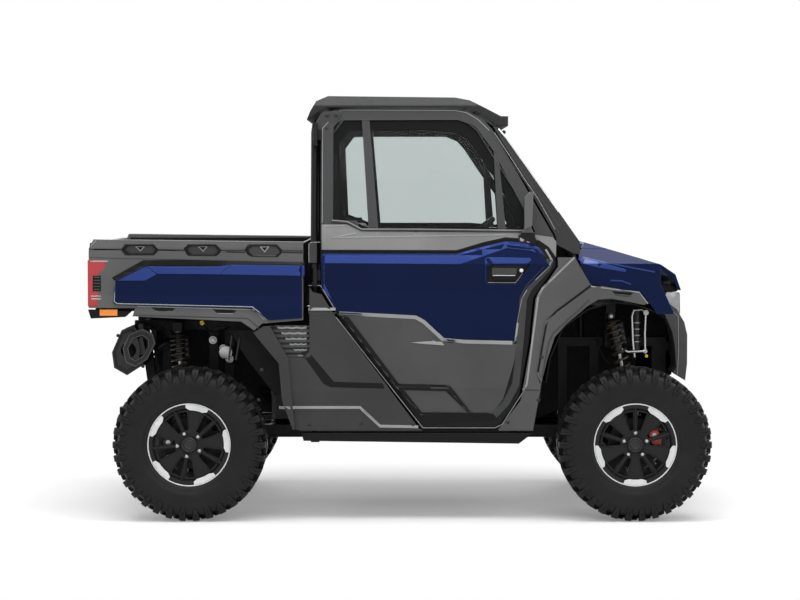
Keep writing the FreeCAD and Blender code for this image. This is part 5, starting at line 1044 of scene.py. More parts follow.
def bed_trim():
    """Grooves, pockets, dark bands and edge lines of the bed's sides and flares; the dark band under the
    rail is a painted shadow, and the pale edge lines are painted highlights.
    """
    shape = Shape("bed_sides", "bed_skins", "tail_lamps", "tail_bumper")
    for run in RAIL_GROOVE:
        shape.band(run, 5, 0.8, "black_plastic")
    for outline, mark in zip(POCKETS, POCKET_MARKS):
        bed_pocket(shape, outline, mark)
    shape.patch(RAIL_PAINTED_SHADOW, 1.6, "black_plastic")
    shape.band(RAIL_EDGE, 3, 1.0, "pale_grey")
    shape.band(RAIL_FOOT, 4, 1.2, "mid_grey")
    shape.band(SKIN_RIM, 4, (1.2, 3.0), "pale_grey")
    for outline in FLARE_SLOTS:
        shape.patch(outline, 0.8, "black_plastic", 2)
        shape.band(outline[2:], 3, 1.2, "pale_grey")
    shape.band(FLARE_EDGE, 5, (2.0, 0.5), "mid_grey")
    shape.band(FLARE_TOP, 4, 1.2, "pale_grey")
    make_both("bed_side_trim", shape, "bed", bevel=0.7)


def bed_facets():
    """Lighter blue patches painted as highlights on the parts of the painted bed side that face the light.
    """
    shape = Shape("bed_sides", "bed_skins", "tail_lamps", "tail_bumper")
    shape.patch(PAINTED_BED_FACET, 2.4, "facet_blue", 4)
    shape.patch(PAINTED_CORNER_FACET, 2.6, "facet_blue", 4)
    shape.band(FACET_STEP, 3, 3.0, "blue_paint")
    make_both("bed_facets", shape, "bed", bevel=0.8)


def bed_lamps():
    """Louvres and light strips of the tail lamps, and the amber side reflectors, which glow a little as
    painted light.
    """
    shape, glow, amber = (Shape("tail_lamps", "bed_sides", "tail_bumper") for _ in range(3))
    shape.patch(LAMP_LOUVRES, 0.6, "black_plastic", 2)
    (left, high), (right, _), (_, low), _ = LAMP_LOUVRES
    for step in range(5):
        z = low + (high - low) * (step + 0.6) / 5.2
        shape.band([(left + 5, z), (right - 5, z)], 4.5, 2.6, "mid_grey")
    make_both("lamp_louvres", shape, "bed", bevel=0.6)
    for run in LAMP_STRIPS:
        glow.band(run, 6, 0.9, "lamp_clear", depth=2)
    make_both("lamp_strips", glow, "bed", bevel=0.6)
    amber.patch(REFLECTOR, 1.0, "amber", 8)
    make_both("side_reflectors", amber, "bed", bevel=1.2)


def bed_floor():
    """Ribs pressed into the bed's floor."""
    shape = Shape("bed_tub")
    down = shape.surface.top(-900, 100, 1200)
    for step in range(FLOOR_RIBS):
        y = (step - FLOOR_RIBS // 2) * RIB_SPACING
        rings = [[(end, y - RIB_FOOT, down), (end + slope, y - RIB_TOP, down + RIB_RISE),
                  (end + slope, y + RIB_TOP, down + RIB_RISE), (end, y + RIB_FOOT, down)]
                 for end, slope in ((RIB_REAR, RIB_SLOPE), (RIB_FRONT, -RIB_SLOPE))]
        shape.loft(rings, "black_plastic")
    make("bed_floor_ribs", shape, "bed", bevel=1.0)


def tailgate_panels():
    """The tailgate's three stiffening panels and its latch plate."""
    shape = Shape()
    for left in GATE_PANELS:
        right = left + GATE_PANEL_WIDTH
        shape.loft([[(x, left + rim, GATE_LOW + rim), (x, right - rim, GATE_LOW + rim),
                     (x, right - rim, GATE_HIGH - rim), (x, left + rim, GATE_HIGH - rim)]
                    for x, rim in GATE_RIMS], "mid_grey")
    shape.block(*GATE_LATCH, "black_plastic")
    make("tailgate_panels", shape, "tailgate", bevel=0.3)


# Side panels, flares, wings, nose and roof edges

SIDE_RECESS = low_view((6, 812), (46, 800), (204, 988), (524, 998), (540, 1030), (184, 1022), (142, 1002))
SIDE_LIP = low_view((-130, 1146), (362, 1146), (486, 1262), (715, 1266))
SIDE_EDGE = low_view((218, 598), (745, 1272), (1184, 1272), (1228, 1250), (1362, 1036))
PILLAR_STEP = low_view((50, 548), (214, 548))
PILLAR_TOP = low_view((50, 572), (214, 572))
COVER_EDGES = [low_view((52, 404), (124, 404), (210, 548)), low_view((54, 262), (54, 156), (68, 142),
    (122, 142))]
COWL_EDGE = nose_view((395, 200), (230, 360), (208, 400), (150, 860), (130, 885))
FLARE_RIM = nose_view((470, 420), (285, 590), (262, 640), (222, 850))
FLARE_CREASE = nose_view((480, 345), (300, 480), (252, 530), (232, 640), (208, 790), (222, 852))
FLARE_LIP = nose_view((480, 350), (730, 380), (775, 440))
FLARE_SLOT = nose_view((578, 360), (700, 382), (682, 394), (602, 386))
FLARE_JOINT = nose_view((135, 886), (212, 888))
# Crease, patch and streak of the wings, painted in the lighter blue as highlights.
WING_PAINTED_CREASE = nose_view((418, 196), (540, 225), (812, 276))
WING_PAINTED_LIGHT = nose_view((420, 200), (560, 235), (660, 262), (664, 276), (520, 252), (440, 232), (414, 212))
WING_PAINTED_STREAK = nose_view((582, 320), (640, 322), (688, 340))
NOSE_EDGE = nose_view((850, 400), (870, 440), (968, 520), (972, 700), (966, 830))
STRIP = high_view((1205, 238), (1250, 290), (1568, 744))
PILLAR_LINES = [high_view((1150, 250), (1390, 600), (1568, 870)), high_view((1180, 232), (1568, 830))]
VENT_BARS, VENT_TOP, VENT_STEP, VENT_LEFT, VENT_RIGHT = 6, 896, 26, -568, -432
VENT_SECTION = [(0, -2, 5), (0, 1, -5), (0, 12, -5), (0, 12, 5)]
VENT_LINE = [(-600, 903), (-430, 903)]
GRILLE_FRAME = [(-284, 712), (284, 712), (284, 1004), (-284, 1004)]
LAMP_BEZEL = [(300, 951), (464, 951), (464, 1040), (300, 1040)]
LAMP_ROWS = (342, 422)
BUMPER_LINE = [(462, 905), (365, 868), (338, 700)]
BUMPER_FOLD = [(322, 700), (322, 925), (440, 932)]
BUMPER_SCREWS = [(440, 850), (440, 760), (395, 690)]
BUMPER_LIP = [(-425, 664), (425, 664)]
SCREW = [(-2, 0), (-2, 8), (3, 8), (4, 6), (4, 4), (1, 4), (1, 0)]
LAMP_RING = [(-5, 35), (2, 35), (3.5, 33), (2, 28), (-5, 26)]
LAMP_BULB = [(-3, 0), (-3, 13), (1.5, 12), (3, 8), (3.5, 0)]
LAMP_HEIGHT, HOOK_HEIGHT, HOOK_PLACE = 995, 664, 150
HOOK = [(-4, 12), (26, 14), (34, 0), (26, -14), (-4, -12)]
LAMP_BOWL = [(0, 0), (0, 30), (3, 31), (4, 27), (-6, 12), (-6, 0)]
LAMP_HOUSING = [(1226, 1052), (1300, 1049), (1316, 1054), (1300, 1076), (1240, 1090)]
ROOF_RIBS, ROOF_RIB_STEPS, ROOF_RIB_WIDTH = (-390, -130, 130, 390), 19, 42
CREASE_STEPS, CREASE_SECTION = 10, [(0, -14, -1), (0, -5, 1.4), (0, 5, 1.4), (0, 14, -1)]


def side_trim():
    """Creases and edges of the side panels and the front flares: the pale edge strips are painted
    highlights, the dark crease and rim strips painted shade.
    """
    shape = Shape("side_panels", "front_flares", "vents")
    shape.patch(SIDE_RECESS, 1.2, "black_plastic", 4)
    shape.band(SIDE_LIP, 13, (0.8, 3.0), "pale_grey")
    shape.band(SIDE_EDGE, 3, 1.6, "pale_grey")
    shape.band(PILLAR_STEP, 13, (1.0, 4.0), "pale_grey")
    shape.band(PILLAR_TOP, 8, (3.0, 0.8), "mid_grey")
    for path in COVER_EDGES:
        shape.band(path, 3, 1.4, "pale_grey")
    shape.band(COWL_EDGE, 9, (1.0, 3.0), "pale_grey")
    shape.band(FLARE_CREASE, 9, (0.4, 1.4), "black_plastic")
    shape.band(FLARE_RIM, 7, (2.0, 0.6), "mid_grey")
    shape.band(FLARE_LIP, 5, 1.5, "pale_grey")
    shape.band(FLARE_JOINT, 3, 0.8, "black_plastic")
    shape.patch(FLARE_SLOT, 1.4, "black_plastic", 2)
    make_both("side_panel_trim", shape, bevel=0.6)


def vent_bars():
    """Pale stepped bars across the dark vent behind each door, their paleness a painted highlight."""
    shape = Shape("vents", "side_panels")
    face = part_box("vents")[0].y / MM
    for index in range(VENT_BARS):
        left = VENT_LEFT + index * 19
        places = [(left + (VENT_RIGHT - left) * step / 6, face, VENT_TOP - index * VENT_STEP - step % 2 * 4)
                  for step in range(7)]
        shape.carried(VENT_SECTION, places, "pale_grey")
    shape.band(VENT_LINE, 6, 2.0, "mid_grey")
    make_both("vent_bars", shape, bevel=0.8)


def wing_facets():
    """Lighter blue patches and strips painted as highlights on the parts of the wings that face the light.
    """
    shape = Shape("wings")
    shape.patch(WING_PAINTED_LIGHT, 1.4, "facet_blue")
    shape.band(WING_PAINTED_CREASE, 6, (2.0, 0.8), "facet_blue")
    shape.band(WING_PAINTED_STREAK, 6, (1.6, 0.6), "facet_blue")
    make_both("wing_facets", shape, bevel=0.6)


def nose_edges():
    """The pale edge down the side of the nose, painted as a highlight."""
    shape = Shape("front_fascia", "headlamps")
    shape.band(NOSE_EDGE, 3, 1.2, "pale_grey")
    make_both("nose_edges", shape)


def bumper_side(shape, side):
    """Pressed lines, the pale one a painted highlight, screws, lamp rings and tow hook on one side of the
    bumper.
    """
    face = shape.surface
    shape.front_band([(side * y, z) for y, z in BUMPER_LINE], 9, 2.5, "pale_grey")
    shape.front_band([(side * y, z) for y, z in BUMPER_FOLD], 16, 1.5, "mid_grey")
    for y, z in BUMPER_SCREWS:
        shape.turned(SCREW, "steel", (face.ahead(side * y, z), side * y, z), FORWARD, 24)
    shape.front_band([(side * y, z) for y, z in LAMP_BEZEL], 9, 2.5, "black_plastic", closed=True)
    for y in LAMP_ROWS:
        spot = (face.ahead(side * y, LAMP_HEIGHT), side * y, LAMP_HEIGHT)
        shape.turned(LAMP_RING, "cast", spot, FORWARD, 40)
        shape.turned(LAMP_BULB, "silver", spot, FORWARD, 32)
    x, y = face.ahead(side * HOOK_PLACE, HOOK_HEIGHT), side * HOOK_PLACE
    shape.tube([(x + along, y, HOOK_HEIGHT + rise) for along, rise in HOOK], 6, "red_caliper", 12)


def bumper_details():
    """Grille surround and lower lip of the front bumper, and what each of its sides carries."""
    shape = Shape("front_fascia", "headlamps", "grille")
    shape.front_band(GRILLE_FRAME, 14, 5, "black_plastic", closed=True)
    shape.front_band(BUMPER_LIP, 44, 4, "black_plastic")
    for side in (-1, 1):
        bumper_side(shape, side)
    make("bumper_details", shape, bevel=1.0)


def headlamp_parts():
    """Reflector bowls and a light bar in each headlamp, before a dark housing."""
    low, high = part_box("headlamps")
    nose, top, base = high.x / MM, high.z / MM, low.z / MM
    shape = Shape()
    for y in (-420, -350):
        shape.turned(LAMP_BOWL, "silver", (nose - 16, y, (top + base) / 2), FORWARD, 28)
    shape.tube([(nose - 6, -455, base + 16), (nose - 3, -380, base + 12), (nose - 6, -300, base + 20)],
               4, "machined", 8)
    make_both("headlamp_parts", shape, bevel=0.6)
    housing = Shape()
    housing.plate(LAMP_HOUSING, -470, -290, "black_plastic")
    make_both("headlamp_housings", housing, bevel=2.0)


def pillar_strips():
    """A bright strip and two fine lines down each front pillar."""
    shape = Shape("screen_surround", "roof")
    shape.band(STRIP, 7, 2.0, "silver", depth=5)
    for path in PILLAR_LINES:
        shape.band(path, 3, 1.2, "mid_grey")
    make_both("pillar_strips", shape, bevel=0.8)


def roof_ribs():
    """Ribs pressed into the roof, no higher than its top."""
    shape = Shape("roof")
    roof_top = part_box("roof")[1].z / MM
    for y in ROOF_RIBS:
        rings = []
        for step in range(ROOF_RIB_STEPS):
            x = -330 + step * 38
            z = shape.surface.top(x, y)
            wide = ROOF_RIB_WIDTH
            if step < 2 or step > ROOF_RIB_STEPS - 3:
                wide *= math.sin(math.pi * min(1, (step + 0.3) / 3)) ** 0.5
            crest = min(z + 1.5, roof_top)
            rings.append([(x, y - wide, z - 3), (x, y - wide + 12, crest), (x, y + wide - 12, crest),
                          (x, y + wide, z - 3)])
        shape.loft(rings, "mid_grey")
    make("roof_ribs", shape, bevel=0.5)


def bonnet_creases():
    """The two pressed creases of the bonnet, coloured in the lighter blue as a painted highlight."""
    shape = Shape("bonnet")
    for side in (-1, 1):
        spots = [(880 + step * 33, side * (330 - step * 9)) for step in range(CREASE_STEPS)]
        places = [(x, y, shape.surface.top(x, y)) for x, y in spots]
        shape.carried(CREASE_SECTION, places, "facet_blue")
    make("bonnet_creases", shape, "bonnet", bevel=0.4)


# Running gear: springs, exhaust, pipes, dark sheets as painted shade behind the wheels, and hoses

SHOCKS = {
    "front": ((1001.5, -415, 945), (1086.5, -415, 560), "orange"),
    "rear": ((-1058.5, -415, 878), (-1037.3, -415, 560), "cast"),
}
SHOCK_CAP = [(34, 24), (34, 43), (40, 45), (44, 40), (44, 24)]
RESERVOIR = [(0, 0), (0, 14), (4, 18), (105, 18), (110, 14), (110, 0)]
MUFFLER_RINGS = [bed_view((222, 830), (262, 742), (345, 708), (408, 740), (424, 800), (372, 900),
    (300, 946), (240, 920)), bed_view((248, 830), (285, 762), (345, 742), (385, 770), (388, 815),
    (352, 882), (300, 915), (262, 890))]
MUFFLER_STEPS = [(-3, 12, 0, 0, "pipe_steel"), (-0.5, 8, 0, 0, "cast"), (-4, 14, 0, 0, "pipe_steel"),
                 (-2, 6, 32, 30, "cast")]
MUFFLER_BOLTS = [(-1330, 845), (-1222, 866), (-1213, 700)]
MUFFLER_STRAP = [(-1235, 900), (-1214, 900), (-1209, 858), (-1238, 858)]
MUFFLER_PIPE = [(-1180, -330, 760), (-1140, -325, 790), (-1090, -310, 800), (-1040, -280, 780)]
# Dark sheets that stand in for the shade behind the wheels, as painted shade.
REAR_SHADE_SHEET = bed_view((395, 640), (1180, 640), (1275, 900), (1262, 1129), (420, 1000), (400, 930))
NOSE_SHADE_SHEET = nose_view((770, 640), (958, 640), (964, 848), (905, 880), (770, 800))
FRONT_SHADE_SHEET = nose_view((470, 415), (780, 445), (850, 470), (960, 600), (960, 830), (700, 900), (180, 1110),
                        (215, 700), (280, 560))
SHADE_SHEET_OUTER, SHADE_SHEET_INNER = -246, -241
MUD_GUARD = bed_view((905, 705), (1085, 705), (1262, 905), (1258, 1129), (1200, 1129), (1010, 880))
GUARD_RIBS = [bed_view((925, 740), (905, 900)), bed_view((975, 760), (950, 900))]
DAMPER_PIPE = [(1118, -418, 735), (1110, -418, 800), (1104, -418, 930), (1112, -418, 958), (1150, -418, 962),
               (1170, -416, 950), (1166, -414, 850), (1168, -412, 770)]
DAMPER_LINK = [(1048, -424, 778), (1085, -430, 762), (1130, -430, 764), (1166, -426, 765)]
DAMPER_BODY = [(1128, -412, 955), (1126, -412, 860), (1128, -412, 760)]
TAG_CAP = [(0, 0), (0, 8), (10, 8), (12, 5), (12, 0)]
TAG = [(-952, 908), (-938, 912), (-930, 896), (-940, 886), (-952, 894)]
HOSES = [[(-940, -412, 890), (-905, -416, 862), (-860, -420, 858), (-812, -410, 880)],
         [(-1130, -400, 880), (-1150, -405, 800), (-1190, -400, 720), (-1240, -380, 690)],
         [(960, -400, 900), (940, -410, 820), (965, -420, 740), (1000, -430, 700)]]
CLAMPS = [(-850, 770), (-900, 810), (-820, 720)]
FILTER = [(0, 0), (0, 34), (30, 38), (60, 30), (64, 0)]


def shock_body(top, foot, collar):
    """The damper with its two eyes, collar and spring seats."""
    axis, length = (foot - top).normalized(), (foot - top).length
    middle, end = length * 0.5, length - 22
    shape = Shape()
    for eye in (top + axis * 14, foot - axis * 4):
        shape.drum(eye, 17, -17, 17, "cast", sides=24, bore=8)
        shape.drum(eye, 8, -19, 19, "steel", sides=12)
    shape.turned([(26, 0), (26, 17), (32, 24), (middle, 24), (middle, 0)], "cast", top, axis, 28)
    shape.drum(top, 10, middle, end, "steel", axis)
    shape.turned(SHOCK_CAP, "cast", top, axis, 32)
    shape.drum(top, 32, 54, 64, collar, axis, 32, 24)
    shape.turned([(end - 22, 10), (end - 22, 42), (end - 14, 46), (end - 6, 30), (end, 10)], "cast", top,
                 axis, 32)
    return shape


def shocks():
    """A damper, a spring and a reservoir at each wheel."""
    for name, (top, foot, collar) in SHOCKS.items():
        top, foot = Vector(top), Vector(foot)
        axis = (foot - top).normalized()
        make_both(f"shock_{name}_body", shock_body(top, foot, collar), replaced=("shock_absorbers",))
        spring = Shape()
        spring.coil(top + axis * 48, foot - axis * 50, 38, 5.6, 9.5, "bronze")
        make_both(f"shock_{name}_spring", spring, replaced=("shock_absorbers",))
        reservoir = Shape()
        reservoir.turned(RESERVOIR, "cast", top + axis * 40 + Vector((34, 16, 0)), axis, 24)
        make_both(f"shock_{name}_reservoir", reservoir)


def exhaust():
    """The silencer's stepped end rings and outlet cone, with its bracket, pipe and clamp bolts."""
    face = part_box("muffler")[0].y / MM
    ring, small = MUFFLER_RINGS
    centre = middle_of(small)
    edges = [scaled(ring, 1.04, centre), scaled(ring, 0.95, centre), scaled(small, 1.02, centre),
             scaled(small, 0.93, centre), scaled(small, 0.5, centre)]
    shape = Shape()
    for outer, inner, (front, back, front_dip, back_dip, finish) in zip(edges, edges[1:], MUFFLER_STEPS):
        shape.opened(outer, inner, face + front, face + back, finish, front_dip, back_dip)
    shape.bolts(MUFFLER_BOLTS, face + 4, 6, 4)
    shape.plate(MUFFLER_STRAP, face + 20, face + 60, "cast")
    shape.tube(MUFFLER_PIPE, 20, "cast", 16)
    make("exhaust_details", shape, bevel=0.8)


def liners():
    """Dark inner panels that close the views past the wheels, standing in for the shade there as painted
    shade, and the rear mud guards.
    """
    shape = Shape()
    for outline in (REAR_SHADE_SHEET, NOSE_SHADE_SHEET, FRONT_SHADE_SHEET):
        shape.plate(outline, SHADE_SHEET_OUTER, SHADE_SHEET_INNER, "dark_rubber")
    make_both("inner_liners", shape, bevel=1.0)
    guard = Shape()
    guard.plate(MUD_GUARD, -585, -578, "black_plastic")
    for points in GUARD_RIBS:
        guard.tube([(x, -589, z) for x, z in resampled(points, 40)], 5, "mid_grey", 8)
    make_both("rear_mud_guards", guard, bevel=1.5)


def front_pipes():
    """The steel pipes and the ribbed body beside each front damper."""
    shape = Shape()
    shape.tube(DAMPER_PIPE, 5.5, "silver")
    shape.tube(DAMPER_LINK, 6, "silver")
    shape.tube(DAMPER_BODY, 15, "cast", 16)
    for z in (900, 870, 840, 810):
        shape.drum((1127, -412, z), 18, -2, 2, "steel", UPWARD, bore=15)
    shape.drum((1170, -420, 948), 13, -8, 8, "steel")
    shape.drum((1166, -420, 764), 11, -8, 8, "steel")
    make_both("front_pipes", shape, bevel=0.5)


def service_tags():
    """The small yellow cap and tag by the wheels."""
    shape = Shape()
    shape.turned(TAG_CAP, "yellow", (1172, -424, 742), OUTWARD, 16)
    shape.plate(TAG, -420, -414, "yellow")
    make_both("service_tags", shape, bevel=0.6)


def hoses_and_clamps():
    """Hoses behind the wheels, with clamps and a filter."""
    shape = Shape()
    for run in HOSES:
        shape.tube(smoothed(run), 4.5, "dark_rubber", 8)
    shape.bolts(CLAMPS, -300, 14, 12, "steel")
    shape.turned(FILTER, "silver", (-838, -252, 752), OUTWARD, 24)
    make_both("hoses_and_clamps", shape, bevel=0.4)


# Cab: padded seats, belts, controls, brackets and fixings

CUSHION = [(-333, 785), (144, 785), (177, 850), (144, 898), (-149, 879), (-333, 879)]
BACKREST = [(-312, 879), (-160, 879), (-149, 1003), (-181, 1354), (-160, 1369), (-170, 1378), (-236, 1378),
    (-257, 1345), (-323, 1003)]
SEAT_SPANS = [(-655, -256), (-209, 209), (256, 655)]
BACK_CHANNELS = [1040, 1140, 1240]
INSET, SWELL, BLOWN_STEPS, VOXEL = 9.0, 8.0, 14, 0.012
CHANNEL_DEPTH, CHANNEL_WIDTH = 5.0, 9.0
LONG_BELT = [(-318, -560, 1650), (-312, -562, 1560), (-322, -555, 1470), (-300, -548, 1420),
             (-306, -540, 1330), (-312, -520, 1200), (-318, -500, 1000)]
SHORT_BELT = [(-330, -566, 1640), (-322, -570, 1520), (-334, -566, 1440), (-316, -560, 1390),
              (-330, -556, 1330)]
BELT_THICK = 1
BELT_REEL, BELT_REEL_BOLT = ((-346, -590, 1640), (-296, -560, 1690)), (-321, -592, 1668)
BELT_GUIDE = (-304, -556, 1398), (-282, -538, 1436)
BUCKLE_PLACES, BUCKLE_HALF = (-232, 232, -236, 236), 9
BUCKLE_REAR, BUCKLE_FRONT, BUCKLE_LOW, BUCKLE_HIGH = -158, -132, 886, 945
COLUMN_AXIS = (0.643, 0, -0.766)
HUB_PAD = [(-16, 0), (-16, 34), (-4, 44), (6, 46), (12, 40), (12, 0)]
HUB_BADGE = [(-19, 0), (-19, 20), (-15, 22), (-15, 0)]
DASH_HEIGHT = 1190
DASH_FITTINGS = [(377, 76, 40, "frit"), (0, 60, 44, "mid_grey"), (-150, 50, 18, "mid_grey"),
                 (-480, 60, 22, "mid_grey"), (560, 30, 22, "mid_grey")]
ROOF_BRACKET = high_view((1170, 208), (1190, 166), (1238, 160), (1248, 212), (1215, 222))
PANEL_BOLTS = [(-640, 700), (-655, 560), (-640, 470), (60, 446), (-180, 448), (-420, 446), (500, 455),
               (640, 560), (655, 760)]
UNDERSIDE, UNDER_BOLTS_ALONG, UNDER_BOLTS_ACROSS = 338.4, range(-560, 1260, 260), (-150, -40)
HINGE_BOLTS, HINGE_BOLT_LINE, HINGE_FACE = (1098, 1118, 1140, 1162, 1178), -386, -700
LOWER_HINGE = [(-400, 1092), (-372, 1092), (-372, 1184), (-400, 1184)]


def inset_outline(outline, edge):
    """An outline with each point moved toward the middle by the same length."""
    centre = middle_of(outline)
    result = []
    for spot in outline:
        away = Vector(spot) - centre
        result.append(tuple(centre + away * (1 - edge / away.length)))
    return result


def evaluated(piece):
    return bpy.data.meshes.new_from_object(piece.evaluated_get(bpy.context.evaluated_depsgraph_get()))


def swollen(piece):
    """Fills a pad with air as cloth, no point further than the swell allows."""
    remesh = piece.modifiers.new("Remesh", "REMESH")
    remesh.mode = "VOXEL"
    remesh.voxel_size = VOXEL
    mesh = evaluated(piece)
    piece.modifiers.clear()
    piece.data = mesh
    before = [vertex.co.copy() for vertex in mesh.vertices]
    cloth = piece.modifiers.new("Cloth", "CLOTH")
    cloth.settings.use_pressure = True
    cloth.settings.uniform_pressure_force = 4.0
    cloth.settings.quality = 4
    cloth.settings.effector_weights.gravity = 0.0
    cloth.collision_settings.use_collision = False
    scene = bpy.context.scene
    for step in range(1, BLOWN_STEPS + 1):
        scene.frame_set(step)
    blown = evaluated(piece)
    piece.modifiers.clear()
    for vertex, first, after in zip(mesh.vertices, before, blown.vertices):
        move = after.co - first
        if move.length > SWELL * MM:
            move *= SWELL * MM / move.length
        vertex.co = first + move
    scene.frame_set(1)


def channelled(piece, lines, axis):
    """Presses sewn channels into a pad along lines of one coordinate."""
    mesh = piece.data
    normals = [vertex.normal.copy() for vertex in mesh.vertices]
    for vertex, normal in zip(mesh.vertices, normals):
        for line in lines:
            gap = abs(vertex.co[axis] / MM - line)
            if gap < CHANNEL_WIDTH and abs(normal[axis]) < 0.6:
                share = 0.5 + 0.5 * math.cos(math.pi * gap / CHANNEL_WIDTH)
                vertex.co -= normal * (CHANNEL_DEPTH * MM * share)


def pad(name, outline, left, right, node, lines, axis):
    """One padded piece of a seat, blown up and sewn."""
    shape = Shape()
    shape.plate(inset_outline(outline, INSET), left + INSET, right - INSET, "seat_cover")
    piece = make(name, shape, replaced=(node,))
    swollen(piece)
    if not piece.data.materials:
        piece.data.materials.append(MATERIALS["seat_cover"])
    channelled(piece, lines, axis)
    piece.data.shade_smooth()
    smoother = piece.modifiers.new("Smoother", "SUBSURF")
    smoother.levels = smoother.render_levels = 1


def seats():
    """Three cushions, sewn along their length, and three backs, sewn across."""
    for index, (left, right) in enumerate(SEAT_SPANS):
        edge = (right - left) / 3 * 0.8
        channels = [left + edge, right - edge]
        pad(f"seat_cushion_pad_{index}", CUSHION, left, right, "seat_cushions", channels, 1)
        pad(f"seat_back_pad_{index}", BACKREST, left, right, "seat_backs", BACK_CHANNELS, 2)


def belts():
    """Flat webbing that hangs behind each door, its reel and guide, and the buckles."""
    shape = Shape()
    for run, half in ((LONG_BELT, 23), (SHORT_BELT, 20)):
        section = [(-half, -BELT_THICK, 0), (half, -BELT_THICK, 0), (half, BELT_THICK, 0),
                   (-half, BELT_THICK, 0)]
        shape.carried(section, smoothed(run, 6), "dark_rubber")
    shape.block(*BELT_REEL, "black_plastic")
    shape.bolt(BELT_REEL_BOLT, 9, 6)
    shape.block(*BELT_GUIDE, "mid_grey")
    make_both("seat_belts", shape, bevel=0.5)
    buckles = Shape()
    for y in BUCKLE_PLACES:
        low, high = (BUCKLE_REAR, y - BUCKLE_HALF, BUCKLE_LOW), (BUCKLE_FRONT, y + BUCKLE_HALF, BUCKLE_HIGH)
        buckles.block(low, high, "black_plastic")
    make("belt_buckles", buckles, bevel=1.5)


def steering_hub():
    """The pad on the steering wheel's hub."""
    low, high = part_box("steering_wheel")
    centre = (low + high) / 2 / MM
    shape = Shape()
    shape.turned(HUB_PAD, "black_plastic", centre, COLUMN_AXIS, 36)
    shape.turned(HUB_BADGE, "mid_grey", centre, COLUMN_AXIS, 32)
    make("steering_hub_pad", shape, "steering_wheel", bevel=1.0)


def dash_fittings():
    """Gauge, glove box, vents and switch panel on the dashboard's face."""
    shape = Shape("dashboard")
    for y, wide, tall, finish in DASH_FITTINGS:
        hit = shape.surface.met((-300, y, DASH_HEIGHT), FORWARD)
        if hit is not None:
            x = hit.x / MM - 3
            low, high = DASH_HEIGHT - tall, DASH_HEIGHT + tall
            shape.backed([(x, y - wide, low), (x, y + wide, low), (x, y + wide, high), (x, y - wide, high)],
                         9, finish, FORWARD)
    make("dash_fittings", shape, bevel=1.5)


def roof_brackets():
    """The brackets that carry the roof's front corners."""
    shape = Shape()
    shape.plate(ROOF_BRACKET, -628, -600, "mid_grey")
    shape.drum((484, -614, 1800), 9, -14, 14, "cast", sides=16)
    make_both("roof_front_brackets", shape, bevel=1.5)


def panel_bolts():
    """Bolts of the side panels, the flares and the underside."""
    shape = Shape("side_panels", "front_flares")
    for x, z in PANEL_BOLTS:
        shape.bolt((x, shape.surface.out(x, z), z), 6, 3.5)
    for x in UNDER_BOLTS_ALONG:
        for y in UNDER_BOLTS_ACROSS:
            shape.bolt((x, y, UNDERSIDE), 9, 3, axis=UPWARD)
    make_both("panel_bolts", shape)


def hinge_plates():
    """The lower hinge plate of each door, with its bolts."""
    shape = Shape()
    shape.bolts([(HINGE_BOLT_LINE, z) for z in HINGE_BOLTS], HINGE_FACE, 6, 6)
    shape.plate(LOWER_HINGE, HINGE_FACE + 1, HINGE_FACE + 8, "cast")
    make_both("hinge_plates", shape, bevel=1.0)


SIDE_PARTS = (wheels, calipers, door_belt, door_facets, door_bevels, door_handle, mirror_foot, window_frame,
              window_border, door_jambs, upper_hinge_plate, bed_trim, bed_facets, bed_lamps, bed_floor,
              tailgate_panels)
FRONT_PARTS = (side_trim, vent_bars, wing_facets, nose_edges, bumper_details, headlamp_parts, pillar_strips,
               roof_ribs, bonnet_creases)
INNER_PARTS = (shocks, exhaust, liners, front_pipes, service_tags, hoses_and_clamps, seats, belts,
               steering_hub, dash_fittings, roof_brackets, panel_bolts, hinge_plates)
for build in SIDE_PARTS + FRONT_PARTS + INNER_PARTS:
    build()


# Stage: camera, floor and light

SCALE = 0.004598
NEAR_FACE, DISTANCE, EYE_HEIGHT = -0.8, 11.0, 1.522
HORIZON_DROP = 108 * SCALE
PHOTO_WIDTH, SENSOR_WIDTH = 800, 36.0
WHITE = (1.0, 1.0, 1.0, 1.0)
LIGHTS = {
    "Top": ((0, -0.9, 5.0), (0, 0, 0.8), (6.5, 3.6), 330),
    "Front_high": ((0.5, -6.5, 4.4), (0, 0, 0.7), (7.0, 1.6), 120),
    "Nose": ((6.0, -2.0, 3.0), (0.5, 0, 0.8), (2.0, 3.0), 60),
    "Tail": ((-6.0, -2.0, 3.0), (-0.5, 0, 0.8), (2.0, 3.0), 50),
    "Back": ((0, 6.0, 3.2), (0, 0, 0.9), (7.0, 2.0), 110),
}
WORLD_LIGHT, SEEN_LIGHT = 0.42, 1.0
FLOOR_VEIL = 0.2
FADE_START, FADE_END = 1.9, 4.2


def place_camera():
    data = bpy.data.cameras.new("Camera")
    camera = bpy.data.objects.new("Camera", data)
    bpy.context.scene.collection.objects.link(camera)
    data.sensor_width = SENSOR_WIDTH
    data.lens = math.hypot(DISTANCE, HORIZON_DROP) / SCALE * SENSOR_WIDTH / PHOTO_WIDTH
    camera.location = (0, NEAR_FACE - DISTANCE, EYE_HEIGHT)
    camera.rotation_euler = (math.pi / 2 - math.atan2(HORIZON_DROP, DISTANCE), 0, 0)
    bpy.context.scene.camera = camera


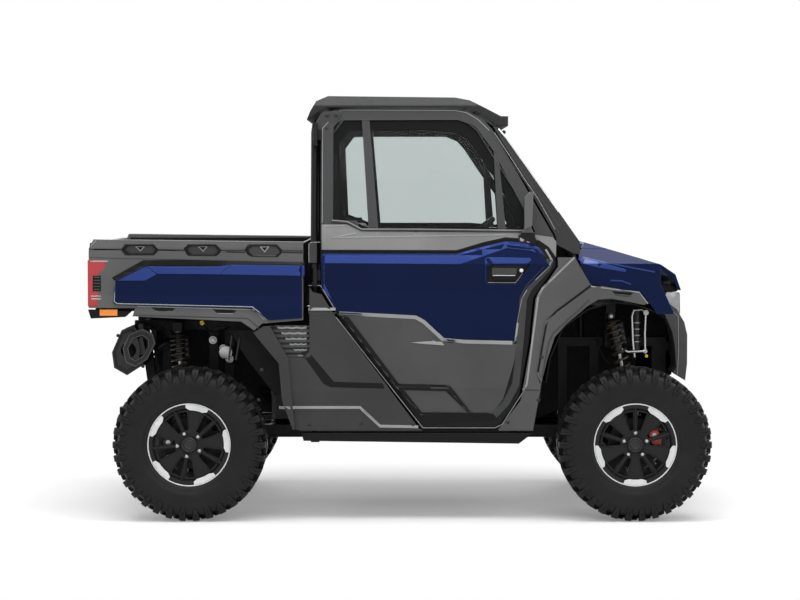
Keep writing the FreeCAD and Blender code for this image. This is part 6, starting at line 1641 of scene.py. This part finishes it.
def light_stage():
    """Soft rectangular lights, each at a spot and aimed at a target."""
    for name, (spot, target, size, power) in LIGHTS.items():
        data = bpy.data.lights.new(name, "AREA")
        data.shape = "RECTANGLE"
        data.size, data.size_y = size
        data.energy = power
        lamp = bpy.data.objects.new(name, data)
        lamp.location = spot
        lamp.rotation_euler = (Vector(target) - Vector(spot)).to_track_quat("-Z", "Y").to_euler()
        bpy.context.scene.collection.objects.link(lamp)


def light_world():
    """A white world, dimmer as a light than where it is seen or mirrored."""
    world = bpy.data.worlds.new("Studio")
    bpy.context.scene.world = world
    world.use_nodes = True
    tree = world.node_tree
    background = tree.nodes["Background"]
    path = tree.nodes.new("ShaderNodeLightPath")
    seen = path.outputs["Is Camera Ray"]
    for name in ("Is Glossy Ray", "Is Transmission Ray"):
        either = tree.nodes.new("ShaderNodeMath")
        either.operation = "MAXIMUM"
        tree.links.new(seen, either.inputs[0])
        tree.links.new(path.outputs[name], either.inputs[1])
        seen = either.outputs["Value"]
    level = tree.nodes.new("ShaderNodeMapRange")
    socket(level, "To Min", WORLD_LIGHT)
    socket(level, "To Max", SEEN_LIGHT)
    tree.links.new(seen, level.inputs["Value"])
    tree.links.new(level.outputs["Result"], background.inputs["Strength"])
    socket(background, "Color", WHITE)


def lay_floor():
    """A pale floor that fades into the white background away from the vehicle."""
    bpy.ops.mesh.primitive_plane_add(size=60)
    floor = bpy.context.object
    floor.name = "Floor"
    finish = Finish("pale_floor", 0.7)
    finish.colour(finish.ramp(finish.noise(0.8), (0.3, (0.86, 0.86, 0.865)), (0.7, (0.9, 0.9, 0.9))))
    glow = finish.node("ShaderNodeEmission")
    socket(glow, "Color", WHITE)
    reach = finish.node("ShaderNodeVectorMath", operation="LENGTH")
    finish.put(finish.stretched((1.0, 1.5, 1.0)), reach.inputs[0])
    fade = finish.span(reach.outputs["Value"], 0.0, 1.0, FADE_START, FADE_END)
    seen = finish.node("ShaderNodeLightPath").outputs["Is Camera Ray"]
    most = finish.maths("MAXIMUM", fade, finish.maths("MULTIPLY", seen, FLOOR_VEIL))
    finish.shown(most, finish.shader.outputs["BSDF"], glow.outputs["Emission"])
    floor.data.materials.append(finish.material)


place_camera()
light_stage()
light_world()
lay_floor()

bpy.context.scene.view_settings.view_transform = "Standard"
